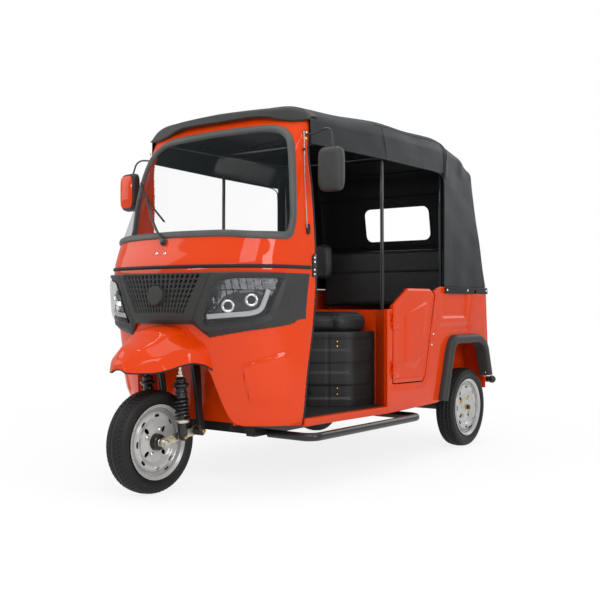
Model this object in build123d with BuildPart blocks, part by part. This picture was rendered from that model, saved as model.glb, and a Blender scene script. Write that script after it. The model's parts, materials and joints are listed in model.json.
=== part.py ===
"""Three-wheeled passenger rickshaw: moulded cab, open sides, cloth canopy, two half doors.

Millimetres. +Z is up, the front faces -Y, +X is the vehicle's left. The origin is on the
ground, at the middle of the overall box. Lengths along the vehicle are written as distances
behind the front axle and placed by aft().
"""

import math
import os
from collections import namedtuple

from build123d import *

os.makedirs("parts", exist_ok=True)

# ---------------------------------------------------------------- driving dimensions
# Wheels
TYRE_R = 233.0
TYRE_W = 112.0
RIM_R = 156.0
FLANGE_R = 167.5
FLANGE_W = 100.0
HUB_R = 42.0
HUB_W = 96.0
AXLE_R = 10.0
STUB_R = 14.0
RUNNING_GAP = 0.05
WHEELBASE = 2039.0
REAR_TRACK = 1052.0

# Overall
BUMPER_AFT = 2380.0
BUMPER_Z = 375.0
BUMPER_BALL_R = 24.0
BUMPER_TUBE_R = 19.0
BUMPER_HALF = 575.0
FRONT_AXLE_Y = -(BUMPER_AFT + BUMPER_BALL_R - TYRE_R) / 2

# Steering
RAKE = 24.0
YOKE_AFT = 170.0
YOKE_Z = 640.0
YOKE_LOW = 592.0
YOKE_TOP = 626.0
BAR_Z = 1000.0
STEM_R = 16.0
BAR_R = 11.0
BAR_RISE = 34.0
HEAD_TUBE_R = 29.0
HEAD_TUBE_LOW = 700.0
HEAD_TUBE_HIGH = 870.0
LEG_X = 105.0
LEG_R = 13.5
ARM_X = 78.0
ARM_T = 13.0
PIVOT_AFT = 208.0
PIVOT_Z = 265.0

# Cab
CAB_WALL = 24.0
CAB_FLOOR_Z = 300.0
CAB_REAR_AFT = 528.0
COWL_TOP_Z = 1747.0
COWL_TOP_DROP = 45.0
FASCIA_LOW_Z = 692.0
FASCIA_NOTCH_Z = 754.0
FASCIA_TOP_Z = 985.0
FASCIA_RISE = 0.212
BELT_Z = 1016.0
BELT_H = 17.0
GLASS_T = 5.0
SEAT_GAP = 0.3
SEAL_W = 26.0
SCREEN_LOW_Z = 1143.0
SCREEN_TOP_Z = 1702.0

# Body
BODY_HALF = 597.0
PANEL_T = 22.0
SILL_LOW_Z = 294.0
SILL_H = 34.0
PANEL_FRONT_AFT = 1065.0
PANEL_REAR_AFT = 2310.0
TAIL_TOP_AFT = 2266.0
TAIL_T = 20.0
PANEL_TOP_Z = 944.0
TUB_LOW_Z = 292.0
BULKHEAD_AFT = 1156.0
BULKHEAD_TOP_Z = 818.0
BULKHEAD_T = 14.0
FLOOR_Z = 325.0
FLOOR_T = 22.0
DOOR_T = 22.0
DOOR_GAP = 6.0
HINGE_AFT = 1112.0
HINGE_R = 7.0
HINGE_PIN_R = 3.0
HINGE_ZS = (520.0, 775.0)

# Canopy
CANOPY_T = 10.0
VALANCE_Z = 1578.0
CANOPY_HEM_Z = 946.0
QUARTER_AFT = 1697.0
QUARTER_POST_AFT = QUARTER_AFT + 33.0
POST_X = 541.0
POST_AFT = 1107.0
POST_R = 9.5

# Steps
STEP_R = 19.0
STEP_X = 632.0
STEP_FRONT_X = 600.0
STEP_Z = 252.0
STEP_FRONT_AFT = 404.0
STEP_REAR_AFT = 1345.0


def aft(distance):
    """Model Y of a point that lies this far behind the front axle."""
    return FRONT_AXLE_Y + distance


def steer_aft(z):
    """Distance behind the front axle of the raked steering axis at height z."""
    return YOKE_AFT + (z - YOKE_Z) * math.tan(math.radians(RAKE))


def steer_point(z, x=0.0):
    """Point of the steering axis at height z."""
    return (x, aft(steer_aft(z)), z)


def pipe(points, radius, bend=40.0):
    """Round bar along straight runs joined by bends."""
    with BuildPart() as bar:
        with BuildLine() as run:
            if len(points) > 2:
                FilletPolyline(*points, radius=bend)
            else:
                Line(*points)
        with BuildSketch(Plane(origin=run.line @ 0, z_dir=run.line % 0)):
            Circle(radius)
        sweep(path=run.line)
    return bar.part


def rod(start, end, radius):
    """Plain round bar between two points."""
    return pipe([start, end], radius)


def slab(x0, x1, aft0, aft1, z0, z1):
    """Upright block given by its limits."""
    with BuildPart() as block:
        with Locations(((x0 + x1) / 2, aft((aft0 + aft1) / 2), (z0 + z1) / 2)):
            Box(abs(x1 - x0), abs(aft1 - aft0), abs(z1 - z0))
    return block.part


def side_prism(points, x0, x1, round_r=0.0):
    """Outline of (aft, z) points seen from the side, run from x0 to x1."""
    with BuildPart() as prism:
        with BuildSketch(Plane(origin=(x0, 0, 0), x_dir=(0, 1, 0), z_dir=(1, 0, 0))) as face:
            with BuildLine():
                Polyline(*[(aft(a), z) for a, z in points], close=True)
            make_face()
            if round_r:
                fillet(face.vertices(), round_r)
        extrude(amount=x1 - x0)
    return prism.part


def front_prism(points, aft0, aft1, round_r=0.0):
    """Outline of (x, z) points seen from the front, run from aft0 to aft1."""
    with BuildPart() as prism:
        with BuildSketch(Plane(origin=(0, aft(aft1), 0), x_dir=(1, 0, 0), z_dir=(0, -1, 0))) as face:
            with BuildLine():
                Polyline(*points, close=True)
            make_face()
            if round_r:
                fillet(face.vertices(), round_r)
        extrude(amount=aft1 - aft0)
    return prism.part


def plan_prism(points, z0, z1, round_r=0.0):
    """Outline of (x, aft) points seen from above, run from z0 to z1."""
    with BuildPart() as prism:
        with BuildSketch(Plane.XY.offset(z0)) as face:
            with BuildLine():
                Polyline(*[(x, aft(a)) for x, a in points], close=True)
            make_face()
            if round_r:
                fillet(face.vertices(), round_r)
        extrude(amount=z1 - z0)
    return prism.part


def mirrored(points):
    """Right-hand outline points followed by their mirror images, in order."""
    return points + [(-x, v) for x, v in reversed(points)]


def finish(builder, name):
    """Label a sub-part and write it to its own file."""
    builder.part.label = name
    export_step(builder.part, f"parts/{name}.step")


def both_sides(part):
    """A left-hand part with its right-hand mirror image, as one compound."""
    with BuildPart() as pair:
        add(part)
        mirror(about=Plane.YZ)
    return pair.part


# ---------------------------------------------------------------- cab sections
# Plan outline at one height: a brow arc across the front, two corner arcs, two straight
# sides that splay outwards to the rear, and a straight rear line.
Section = namedtuple("Section", "z nose brow_r corner_r rear_half rear_aft splay")

COWL_SECTIONS = [
    Section(CAB_FLOOR_Z, 139, 700, 300, 544, 530, 2),
    Section(690, 85, 900, 330, 541, 492, 4),
    Section(985, 62, 1150, 280, 540, 521, 6),
    Section(SCREEN_LOW_Z, 120, 1500, 249, 535, 521, 8),
    Section(1760, 484, 2083, 40, 520, 640, 8),
]

FASCIA_SECTIONS = [
    Section(680, 76, 800, 330, 544, 488, 4),
    Section(820, 40, 1050, 310, 544, 507, 5),
    Section(1000, 32, 1150, 295, 544, 521, 6),
]


def cab_face(section, inset, behind):
    """Closed plan outline of one section, set in by a wall and run on behind its rear line."""
    s = section
    splay = math.radians(s.splay)
    out_x, out_a = math.cos(splay), -math.sin(splay)
    # A point on the line that the corner's centre lies on, parallel to the side.
    base_x = s.rear_half - s.corner_r * out_x
    base_a = s.rear_aft - s.corner_r * out_a
    brow_a = s.nose + s.brow_r
    along = -(base_x * math.sin(splay) + (base_a - brow_a) * math.cos(splay))
    gap = base_x**2 + (base_a - brow_a) ** 2 - (s.brow_r - s.corner_r) ** 2
    step = -along + math.sqrt(along**2 - gap)
    centre_x = base_x - step * math.sin(splay)
    centre_a = base_a - step * math.cos(splay)

    brow = s.brow_r - inset
    corner = s.corner_r - inset
    turn = math.atan2(centre_x, brow_a - centre_a)
    middle = (turn + math.pi / 2 - splay) / 2
    join = (brow * math.sin(turn), brow_a - brow * math.cos(turn))
    bulge = (centre_x + corner * math.sin(middle), centre_a - corner * math.cos(middle))
    side = (centre_x + corner * out_x, centre_a + corner * out_a)
    run = (s.rear_aft + behind - side[1]) / math.cos(splay)
    rear = (side[0] + run * math.sin(splay), s.rear_aft + behind)

    def place(point, sign=1):
        return (sign * point[0], aft(point[1]))

    with BuildSketch(Plane.XY.offset(s.z)) as face:
        with BuildLine():
            ThreePointArc(place(join, -1), (0, aft(s.nose + inset)), place(join))
            ThreePointArc(place(join), place(bulge), place(side))
            Line(place(side), place(rear))
            Line(place(rear), place(rear, -1))
            Line(place(rear, -1), place(side, -1))
            ThreePointArc(place(side, -1), place(bulge, -1), place(join, -1))
        make_face()
    return face.sketch


def cab_solid(sections, inset=0.0, behind=0.0):
    """Solid cab body through its sections, set in by a wall."""
    with BuildPart() as body:
        loft(sections=[cab_face(s, inset, behind).face() for s in sections], ruled=True)
    return body.part


def screen_prism(inset, aft0=-60.0):
    """Windscreen outline seen from the front, set in from the seal's outer edge."""
    low = SCREEN_LOW_Z
    right = [(440, low), (503, low + 66), (500, 1400), (478, 1612), (398, 1694)]
    left = [(-x, z) for x, z in reversed(right)]
    with BuildPart() as prism:
        with BuildSketch(Plane(origin=(0, aft(700), 0), x_dir=(1, 0, 0), z_dir=(0, -1, 0))) as face:
            with BuildLine():
                Polyline(*right, (0, SCREEN_TOP_Z), *left, close=True)
            make_face()
            corners = face.vertices().filter_by(lambda v: abs(v.X) > 380)
            fillet(corners, 40)
            if inset:
                offset(amount=-inset, kind=Kind.INTERSECTION)
        extrude(amount=700 - aft0)
        # The screen only takes what lies ahead of the pillars.
        split(bisect_by=Plane(origin=(0, aft(405), low), z_dir=(0, -1, 0.34)), keep=Keep.TOP)
    return prism.part


def arch_prism(low, drop, high, aft0, aft1):
    """Region under a shallow arch that spans the header."""
    half = 660.0
    with BuildPart() as prism:
        with BuildSketch(Plane(origin=(0, aft(aft1), 0), x_dir=(1, 0, 0), z_dir=(0, -1, 0))):
            with BuildLine():
                fall = drop * (half / 511.0) ** 2
                ThreePointArc((-half, high - fall), (0, high), (half, high - fall))
                Polyline((half, high - fall), (half, low), (-half, low), (-half, high - fall))
            make_face()
        extrude(amount=aft1 - aft0)
    return prism.part


# ---------------------------------------------------------------- cab pieces
cowl_outer = cab_solid(COWL_SECTIONS)
cowl_inner = cab_solid(COWL_SECTIONS, inset=CAB_WALL, behind=80)
fascia_outer = cab_solid(FASCIA_SECTIONS)

FASCIA_EDGE = [
    (0, FASCIA_NOTCH_Z),
    (173, FASCIA_NOTCH_Z),
    (238, FASCIA_LOW_Z),
    (238, FASCIA_LOW_Z - 200),
]


def fascia_zone():
    """Space between the fascia's lower and upper edges."""
    with BuildPart() as zone:
        add(slab(-620, 620, -100, 700, 500, FASCIA_TOP_Z))
        below = Plane(
            origin=(0, aft(113), FASCIA_LOW_Z), z_dir=(0, -FASCIA_RISE, 1), x_dir=(1, 0, 0)
        )
        split(bisect_by=below, keep=Keep.TOP)
        add(front_prism(mirrored(FASCIA_EDGE[1:]), -120, 720), mode=Mode.SUBTRACT)
    return zone.part


# Headlamp: outline on a plane turned to face the corner of the cab.
LAMP_TURN = 42.0
LAMP_PLANE = Plane(
    origin=(378, aft(130), 860),
    x_dir=(math.cos(math.radians(LAMP_TURN)), math.sin(math.radians(LAMP_TURN)), 0),
    z_dir=(math.sin(math.radians(LAMP_TURN)), -math.cos(math.radians(LAMP_TURN)), 0),
)
LAMP_OUTLINE = [(-140, -104), (64, -86), (154, -54), (219, 104), (-2, 102), (-68, 90), (-101, 46)]


def lamp_prism(grow, front, back):
    """Headlamp outline, let out by a margin, between two depths."""
    with BuildPart() as prism:
        with BuildSketch(LAMP_PLANE.offset(back)) as face:
            with BuildLine():
                Polyline(*LAMP_OUTLINE, close=True)
            make_face()
            fillet(face.vertices(), 12)
            if grow:
                offset(amount=grow, kind=Kind.INTERSECTION)
        extrude(amount=front - back)
    return prism.part


LAMP_DEPTH = -120.0
lamp_hole = lamp_prism(0, 160, LAMP_DEPTH)

# Wheel opening in the lower front of the cowl.
WHEEL_OPENING = [(300, 200), (300, 300), (240, 527), (190, 650), (132, 684)]

# Rear edge of the cab's sides below the belt, as (aft, z).
CAB_REAR_EDGE = [(440, CAB_FLOOR_Z - 1), (440, CAB_FLOOR_Z), (492, 690), (521, 985)]
CAB_REAR_EDGE += [(CAB_REAR_AFT + 32, 985), (CAB_REAR_AFT + 32, CAB_FLOOR_Z - 1)]


def header_block():
    """Solid cab body below the arched top of its header."""
    with BuildPart() as block:
        add(cowl_outer)
        add(arch_prism(200, COWL_TOP_DROP, COWL_TOP_Z, -100, 800), mode=Mode.INTERSECT)
    return block.part


with BuildPart() as front_cowl:
    add(header_block())
    add(cowl_inner, mode=Mode.SUBTRACT)
    add(slab(-700, 700, CAB_REAR_AFT, 900, 200, 1900), mode=Mode.SUBTRACT)
    add(side_prism(CAB_REAR_EDGE, -700, 700), mode=Mode.SUBTRACT)
    add(screen_prism(0), mode=Mode.SUBTRACT)
    add(front_prism(mirrored(WHEEL_OPENING), -60, 330), mode=Mode.SUBTRACT)
    add(both_sides(lamp_hole), mode=Mode.SUBTRACT)
finish(front_cowl, "front_cowl")

with BuildPart() as windscreen_seal:
    add(cab_solid(COWL_SECTIONS, inset=-5))
    add(cab_solid(COWL_SECTIONS, inset=16, behind=40), mode=Mode.SUBTRACT)
    add(screen_prism(0), mode=Mode.INTERSECT)
    add(screen_prism(SEAL_W), mode=Mode.SUBTRACT)
finish(windscreen_seal, "windscreen_seal")

with BuildPart() as windscreen_glass:
    add(cab_solid(COWL_SECTIONS, inset=2))
    add(cab_solid(COWL_SECTIONS, inset=2 + GLASS_T, behind=40), mode=Mode.SUBTRACT)
    add(screen_prism(SEAL_W + SEAT_GAP), mode=Mode.INTERSECT)
finish(windscreen_glass, "windscreen_glass")

GRILLE_TOP_X = 245.0
GRILLE_LOW_X = 145.0
GRILLE_LOW_Z = 803.0
GRILLE_TOP_Z = 968.0
GRILLE_DEPTH = 16.0
GRILLE_OUTLINE = [(GRILLE_LOW_X, GRILLE_LOW_Z), (GRILLE_TOP_X, GRILLE_TOP_Z)]

with BuildPart() as fascia:
    add(fascia_outer)
    add(fascia_zone(), mode=Mode.INTERSECT)
    add(cowl_outer, mode=Mode.SUBTRACT)
    add(slab(-620, 620, 480, 600, 600, 1100), mode=Mode.SUBTRACT)
    add(front_prism(mirrored(GRILLE_OUTLINE), -100, 300, round_r=14), mode=Mode.SUBTRACT)
    add(both_sides(lamp_hole), mode=Mode.SUBTRACT)
finish(fascia, "fascia")

# Grille: a backing plate with upright ribs and a plain round boss.
GRILLE_RIBS = 13
GRILLE_RIB_T = 9.0
GRILLE_RIB_IN = 3.0
GRILLE_ROUND = 14.0
BOSS_R = 42.0
BOSS_AFT = 30.0
BOSS_Z = 890.0


def grille_layer(near, far):
    """Curved layer of the grille between two depths below the fascia's surface."""
    with BuildPart() as layer:
        add(cab_solid(FASCIA_SECTIONS, inset=near))
        add(cab_solid(FASCIA_SECTIONS, inset=far, behind=90), mode=Mode.SUBTRACT)
        add(front_prism(mirrored(GRILLE_OUTLINE), -100, 300, round_r=GRILLE_ROUND), mode=Mode.INTERSECT)
    return layer.part


with BuildPart() as grille_ribs:
    for i in range(GRILLE_RIBS):
        share = (i + 0.5) / GRILLE_RIBS * 2 - 1
        low_x, high_x = share * GRILLE_LOW_X, share * GRILLE_TOP_X
        low_z, high_z = GRILLE_LOW_Z - 5, GRILLE_TOP_Z + 5
        half = GRILLE_RIB_T / 2
        foot = [(low_x - half, low_z), (low_x + half, low_z)]
        head = [(high_x + half, high_z), (high_x - half, high_z)]
        add(front_prism(foot + head, 0, 200))
with BuildPart() as rib_layer:
    add(grille_layer(GRILLE_RIB_IN, GRILLE_DEPTH))
    add(grille_ribs.part, mode=Mode.INTERSECT)

with BuildPart() as grille:
    add(grille_layer(GRILLE_DEPTH, GRILLE_DEPTH + 4))
    add(rib_layer.part)
    with BuildSketch(Plane(origin=(0, aft(54), BOSS_Z), x_dir=(1, 0, 0), z_dir=(0, -1, 0))):
        Circle(BOSS_R)
    extrude(amount=54 - BOSS_AFT)
finish(grille, "grille")

PROJECTORS = [(-29, -18), (73, 8)]
PROJECTOR_R = 34.0
LIGHT_BAR = [
    (-124, -92),
    (60, -74),
    (128, -38),
    (196, 86),
    (186, 88),
    (118, -32),
    (56, -64),
    (-118, -80),
]
with BuildPart() as lamp_shell:
    add(cab_solid(FASCIA_SECTIONS, inset=10))
    add(lamp_prism(-0.4, 160, LAMP_DEPTH + 8), mode=Mode.INTERSECT)
    add(lamp_prism(-8, 160, LAMP_DEPTH + 20), mode=Mode.SUBTRACT)
    with BuildSketch(LAMP_PLANE.offset(LAMP_DEPTH + 20)):
        with Locations(*PROJECTORS):
            Circle(PROJECTOR_R)
    extrude(amount=62)
    with BuildSketch(LAMP_PLANE.offset(LAMP_DEPTH + 20)):
        with BuildLine():
            Polyline(*LIGHT_BAR, close=True)
        make_face()
    extrude(amount=60)
    add(cab_solid(FASCIA_SECTIONS, inset=10.2), mode=Mode.INTERSECT)
with BuildPart() as headlamp_housings:
    add(both_sides(lamp_shell.part))
finish(headlamp_housings, "headlamp_housings")

with BuildPart() as lamp_lens:
    add(cab_solid(FASCIA_SECTIONS, inset=-4))
    add(cab_solid(FASCIA_SECTIONS, inset=9.7, behind=90), mode=Mode.SUBTRACT)
    add(lamp_prism(-0.4, 160, LAMP_DEPTH), mode=Mode.INTERSECT)
with BuildPart() as headlamp_lenses:
    add(both_sides(lamp_lens.part))
finish(headlamp_lenses, "headlamp_lenses")

with BuildPart() as belt_trim:
    add(cab_solid(COWL_SECTIONS, inset=-8))
    add(cowl_outer, mode=Mode.SUBTRACT)
    add(slab(-640, 640, -40, 519, BELT_Z - BELT_H / 2, BELT_Z + BELT_H / 2), mode=Mode.INTERSECT)
finish(belt_trim, "belt_trim")

# Header cap: a moulded band over the windscreen, nearly straight with rounded ends.
VISOR_OUTLINE = [(0, 1738), (270, 1737), (385, 1706), (514, 1692), (514, 1711), (470, 1750), (420, 1769)]
VISOR_OUTLINE += [(0, 1778)]
VISOR_FAR_SIDE = [(-x, z) for x, z in reversed(VISOR_OUTLINE[1:-1])]
VISOR_NOSE_AFT = 444.0
VISOR_END_AFT = 506.0
with BuildPart() as visor:
    with BuildSketch(Plane.XY.offset(1640)):
        with BuildLine():
            ThreePointArc((-516, aft(VISOR_END_AFT)), (0, aft(VISOR_NOSE_AFT)), (516, aft(VISOR_END_AFT)))
            Polyline(
                (516, aft(VISOR_END_AFT)),
                (516, aft(CAB_REAR_AFT)),
                (-516, aft(CAB_REAR_AFT)),
                (-516, aft(VISOR_END_AFT)),
            )
        make_face()
    extrude(amount=260)
    add(front_prism(VISOR_OUTLINE + VISOR_FAR_SIDE, 300, 800), mode=Mode.INTERSECT)
    add(header_block(), mode=Mode.SUBTRACT)
finish(visor, "visor")

# Front fender: a peaked dome, arched across, that grows out of the cowl.
Arch = namedtuple("Arch", "aft half edge_z shoulder_x shoulder_z cheek_x cheek_z crown_z")
FENDER_T = 5.0
FENDER_STATIONS = [
    Arch(-192, 40, 570, 36, 578, 20, 587, 590),
    Arch(-168, 78, 562, 70, 585, 40, 606, 612),
    Arch(-125, 118, 556, 106, 610, 62, 645, 655),
    Arch(-65, 172, 568, 150, 618, 90, 668, 692),
    Arch(-10, 196, 582, 172, 640, 102, 698, 734),
    Arch(40, 216, 590, 198, 648, 112, 710, 745),
    Arch(95, 233, 580, 214, 652, 120, 714, 748),
    Arch(150, 246, 548, 230, 652, 126, 716, 752),
]


def fender_solid(inset, drop=0.0):
    """Dome through the stations, set in by the wall and let down below its edge."""
    with BuildPart() as dome:
        faces = []
        for st in FENDER_STATIONS:
            here = Plane(origin=(0, aft(st.aft), 0), x_dir=(1, 0, 0), z_dir=(0, -1, 0))
            foot = (st.half - inset, st.edge_z)
            shoulder = (st.shoulder_x - inset, st.shoulder_z - inset * 0.6)
            cheek = (st.cheek_x - inset * 0.5, st.cheek_z - inset)
            low = (foot[0], st.edge_z - drop)
            with BuildSketch(here, mode=Mode.PRIVATE) as arch:
                with BuildLine():
                    Polyline(low, foot, shoulder, cheek)
                    ThreePointArc(cheek, (0, st.crown_z - inset), (-cheek[0], cheek[1]))
                    Polyline(
                        (-cheek[0], cheek[1]),
                        (-shoulder[0], shoulder[1]),
                        (-foot[0], foot[1]),
                        (-low[0], low[1]),
                        low,
                    )
                make_face()
            faces.append(arch.sketch.face())
        loft(sections=faces, ruled=True)
    return dome.part


with BuildPart() as front_fender:
    add(fender_solid(0, drop=0.1))
    add(fender_solid(FENDER_T, drop=40), mode=Mode.SUBTRACT)
    add(cowl_outer, mode=Mode.SUBTRACT)
    add(fascia.part, mode=Mode.SUBTRACT)
finish(front_fender, "front_fender")

# Splash guard: the walls of the wheel space inside the cab.
GUARD_HALF = 296.0
GUARD_REAR = 300.0
GUARD_TOP = 680.0
GUARD_T = 6.0
with BuildPart() as splash_guard:
    add(slab(-GUARD_HALF, GUARD_HALF, 60, GUARD_REAR, CAB_FLOOR_Z, GUARD_TOP))
    add(
        slab(
            -GUARD_HALF + GUARD_T,
            GUARD_HALF - GUARD_T,
            0,
            GUARD_REAR - GUARD_T,
            CAB_FLOOR_Z - 10,
            GUARD_TOP - GUARD_T,
        ),
        mode=Mode.SUBTRACT,
    )
    add(cab_solid(COWL_SECTIONS, inset=CAB_WALL, behind=200), mode=Mode.INTERSECT)
    with Locations((0, aft(steer_aft(GUARD_TOP)), GUARD_TOP)):
        Cylinder(70, 40, mode=Mode.SUBTRACT)
finish(splash_guard, "splash_guard")

with BuildPart() as dashboard:
    add(slab(-470, 470, 60, 235, 900, 1105))
    add(cab_solid(COWL_SECTIONS, inset=CAB_WALL + 0.5, behind=200), mode=Mode.INTERSECT)
    add(both_sides(lamp_prism(12, 160, LAMP_DEPTH - 6)), mode=Mode.SUBTRACT)
    add(slab(-60, 60, 225, 262, 1040, 1105))
finish(dashboard, "dashboard")

# ---------------------------------------------------------------- chassis
RAIL_X = 330.0
RAIL_W = 50.0
REAR_FLOOR_Z = 412.0
REAR_FLOOR_T = 14.0
RAIL_TOP = FLOOR_Z - FLOOR_T - SEAT_GAP
RAIL_TOP_REAR = REAR_FLOOR_Z - REAR_FLOOR_T - SEAT_GAP
RAIL_H = 56.0
RAIL_LOW_REAR = RAIL_TOP_REAR - 52.0
CROSS_H = 46.0
RAIL_PROFILE = [
    (300, RAIL_TOP - RAIL_H),
    (1600, RAIL_TOP - RAIL_H),
    (1730, RAIL_LOW_REAR),
    (2334, RAIL_LOW_REAR),
    (2334, RAIL_TOP_REAR),
    (1700, RAIL_TOP_REAR),
    (1585, RAIL_TOP),
    (300, RAIL_TOP),
]
CROSS_AFTS = [(320, RAIL_TOP), (760, RAIL_TOP), (1090, RAIL_TOP), (1500, RAIL_TOP)]
CROSS_AFTS += [(1780, RAIL_TOP_REAR), (2310, RAIL_TOP_REAR)]
LEAF_X = 330.0
LEAF_W = 50.0
LEAF_T = 8.0
LEAF_COUNT = 3
LEAF_REACH = 300.0
LEAF_SAG = 50.0
AXLE_TUBE_R = 28.0
LEAF_LOW = TYRE_R + AXLE_TUBE_R + SEAT_GAP
LEAF_TIP_Z = LEAF_LOW + LEAF_T * LEAF_COUNT + LEAF_SAG
with BuildPart() as chassis_frame:
    for side in (-1, 1):
        add(side_prism(RAIL_PROFILE, side * RAIL_X - RAIL_W / 2, side * RAIL_X + RAIL_W / 2))
    for cross_aft, cross_top in CROSS_AFTS:
        add(slab(-RAIL_X, RAIL_X, cross_aft - 20, cross_aft + 20, cross_top - CROSS_H, cross_top))
    for side in (-1, 1):
        for end in (-1, 1):
            tip = WHEELBASE + end * (LEAF_REACH - 12)
            near, far = side * LEAF_X - 18, side * LEAF_X + 18
            add(slab(near, far, tip - 12, tip + 12, LEAF_TIP_Z, RAIL_LOW_REAR + 4))
    add(pipe([(0, aft(330), 270), (0, aft(330), 700), (0, aft(steer_aft(800)) + 20, 800)], 22, 60))
    add(rod(steer_point(HEAD_TUBE_LOW), steer_point(HEAD_TUBE_HIGH), HEAD_TUBE_R))
    add(
        rod(steer_point(HEAD_TUBE_LOW - 80), steer_point(HEAD_TUBE_HIGH + 80), STEM_R + RUNNING_GAP),
        mode=Mode.SUBTRACT,
    )
finish(chassis_frame, "chassis_frame")

# ---------------------------------------------------------------- steering
BAR_FIT = 0.1
BAR_Y = aft(steer_aft(BAR_Z + BAR_RISE))
YOKE_PLAN = mirrored([(121, 60), (121, 188), (60, 188)]) + [(-88, 60), (-60, 118), (60, 118), (88, 60)]
with BuildPart() as steering_fork:
    add(rod(steer_point(YOKE_LOW + 6), steer_point(BAR_Z), STEM_R))
    add(plan_prism(YOKE_PLAN, YOKE_LOW, YOKE_TOP, round_r=8))
    for side in (-1, 1):
        add(
            pipe(
                [
                    (side * LEG_X, aft(153), YOKE_LOW + 10),
                    (side * LEG_X, aft(178), 477),
                    (side * LEG_X, aft(PIVOT_AFT), PIVOT_Z),
                ],
                LEG_R,
                80,
            )
        )
        with Locations(Location((side * LEG_X, aft(PIVOT_AFT), PIVOT_Z), (0, 90, 0))):
            Cylinder(20, 28)
    add(slab(-45, 45, steer_aft(BAR_Z) - 8, steer_aft(BAR_Z) + 44, BAR_Z - 14, BAR_Z + 56))
    add(
        rod((-80, BAR_Y, BAR_Z + BAR_RISE), (80, BAR_Y, BAR_Z + BAR_RISE), BAR_R + BAR_FIT),
        mode=Mode.SUBTRACT,
    )
finish(steering_fork, "steering_fork")

with BuildPart() as handlebar:
    add(
        pipe(
            [
                (-290, BAR_Y + 90, BAR_Z + 60),
                (-150, BAR_Y + 40, BAR_Z + 44),
                (-70, BAR_Y, BAR_Z + BAR_RISE),
                (70, BAR_Y, BAR_Z + BAR_RISE),
                (150, BAR_Y + 40, BAR_Z + 44),
                (290, BAR_Y + 90, BAR_Z + 60),
            ],
            BAR_R,
            40,
        )
    )
finish(handlebar, "handlebar")

SHOCK_LOW = (95.0, 249.0)
SHOCK_TOP = (76.0, 561.0)
with BuildPart() as fork_shocks:
    for side in (-1, 1):
        low = (side * LEG_X, aft(SHOCK_LOW[0]), SHOCK_LOW[1] + 22)
        top = (side * LEG_X, aft(SHOCK_TOP[0]), SHOCK_TOP[1])
        mid = (side * LEG_X, aft(SHOCK_LOW[0] - 7), SHOCK_LOW[1] + 100)
        add(rod(low, top, 13))
        add(rod(low, mid, 19))
        add(rod(mid, top, 24))
        with Locations(Location((side * LEG_X, aft(SHOCK_LOW[0]), SHOCK_LOW[1]), (0, 90, 0))):
            Cylinder(15, 24)
        add(rod(top, (side * LEG_X, aft(SHOCK_TOP[0] - 1), YOKE_LOW - SEAT_GAP), 9))
finish(fork_shocks, "fork_shocks")

with BuildPart() as swing_arms:
    for side in (-1, 1):
        inner = side * (ARM_X - ARM_T / 2)
        outline = [
            (-16, 222),
            (14, 217),
            (95, 234),
            (PIVOT_AFT + 6, 246),
            (PIVOT_AFT + 16, 268),
            (PIVOT_AFT + 2, 284),
            (95, 268),
            (0, 254),
            (-18, 244),
        ]
        add(side_prism(outline, inner, inner + side * ARM_T))
        add(rod((side * 60, aft(PIVOT_AFT), PIVOT_Z), (side * 90.8, aft(PIVOT_AFT), PIVOT_Z), 10))
        shock_y = aft(SHOCK_LOW[0])
        add(rod((side * 80, shock_y, SHOCK_LOW[1]), (side * 92.8, shock_y, SHOCK_LOW[1]), 9))
    add(rod((-102, aft(0), TYRE_R), (102, aft(0), TYRE_R), AXLE_R))
finish(swing_arms, "swing_arms")

# ---------------------------------------------------------------- wheels
SLOT_COUNT = 8
VENT_COUNT = 4
DISC_T = 6.0


def wheel_plane(x, distance):
    """Plane through a wheel's centre with X across the wheel and Y up."""
    return Plane(origin=(x, aft(distance), TYRE_R), x_dir=(1, 0, 0), z_dir=(0, -1, 0))


def tyre(x, distance):
    """Tyre turned from its cross-section."""
    half = TYRE_W / 2
    with BuildPart() as ring:
        with BuildSketch(wheel_plane(x, distance)):
            with BuildLine():
                Line((-38, RIM_R + 0.3), (38, RIM_R + 0.3))
                Line((38, RIM_R + 0.3), (44, FLANGE_R + 1))
                ThreePointArc((44, FLANGE_R + 1), (half, 198), (half - 11, 224))
                ThreePointArc((half - 11, 224), (0, TYRE_R), (11 - half, 224))
                ThreePointArc((11 - half, 224), (-half, 198), (-44, FLANGE_R + 1))
                Line((-44, FLANGE_R + 1), (-38, RIM_R + 0.3))
            make_face()
        revolve(axis=Axis((x, aft(distance), TYRE_R), (1, 0, 0)))
    return ring.part


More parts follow.
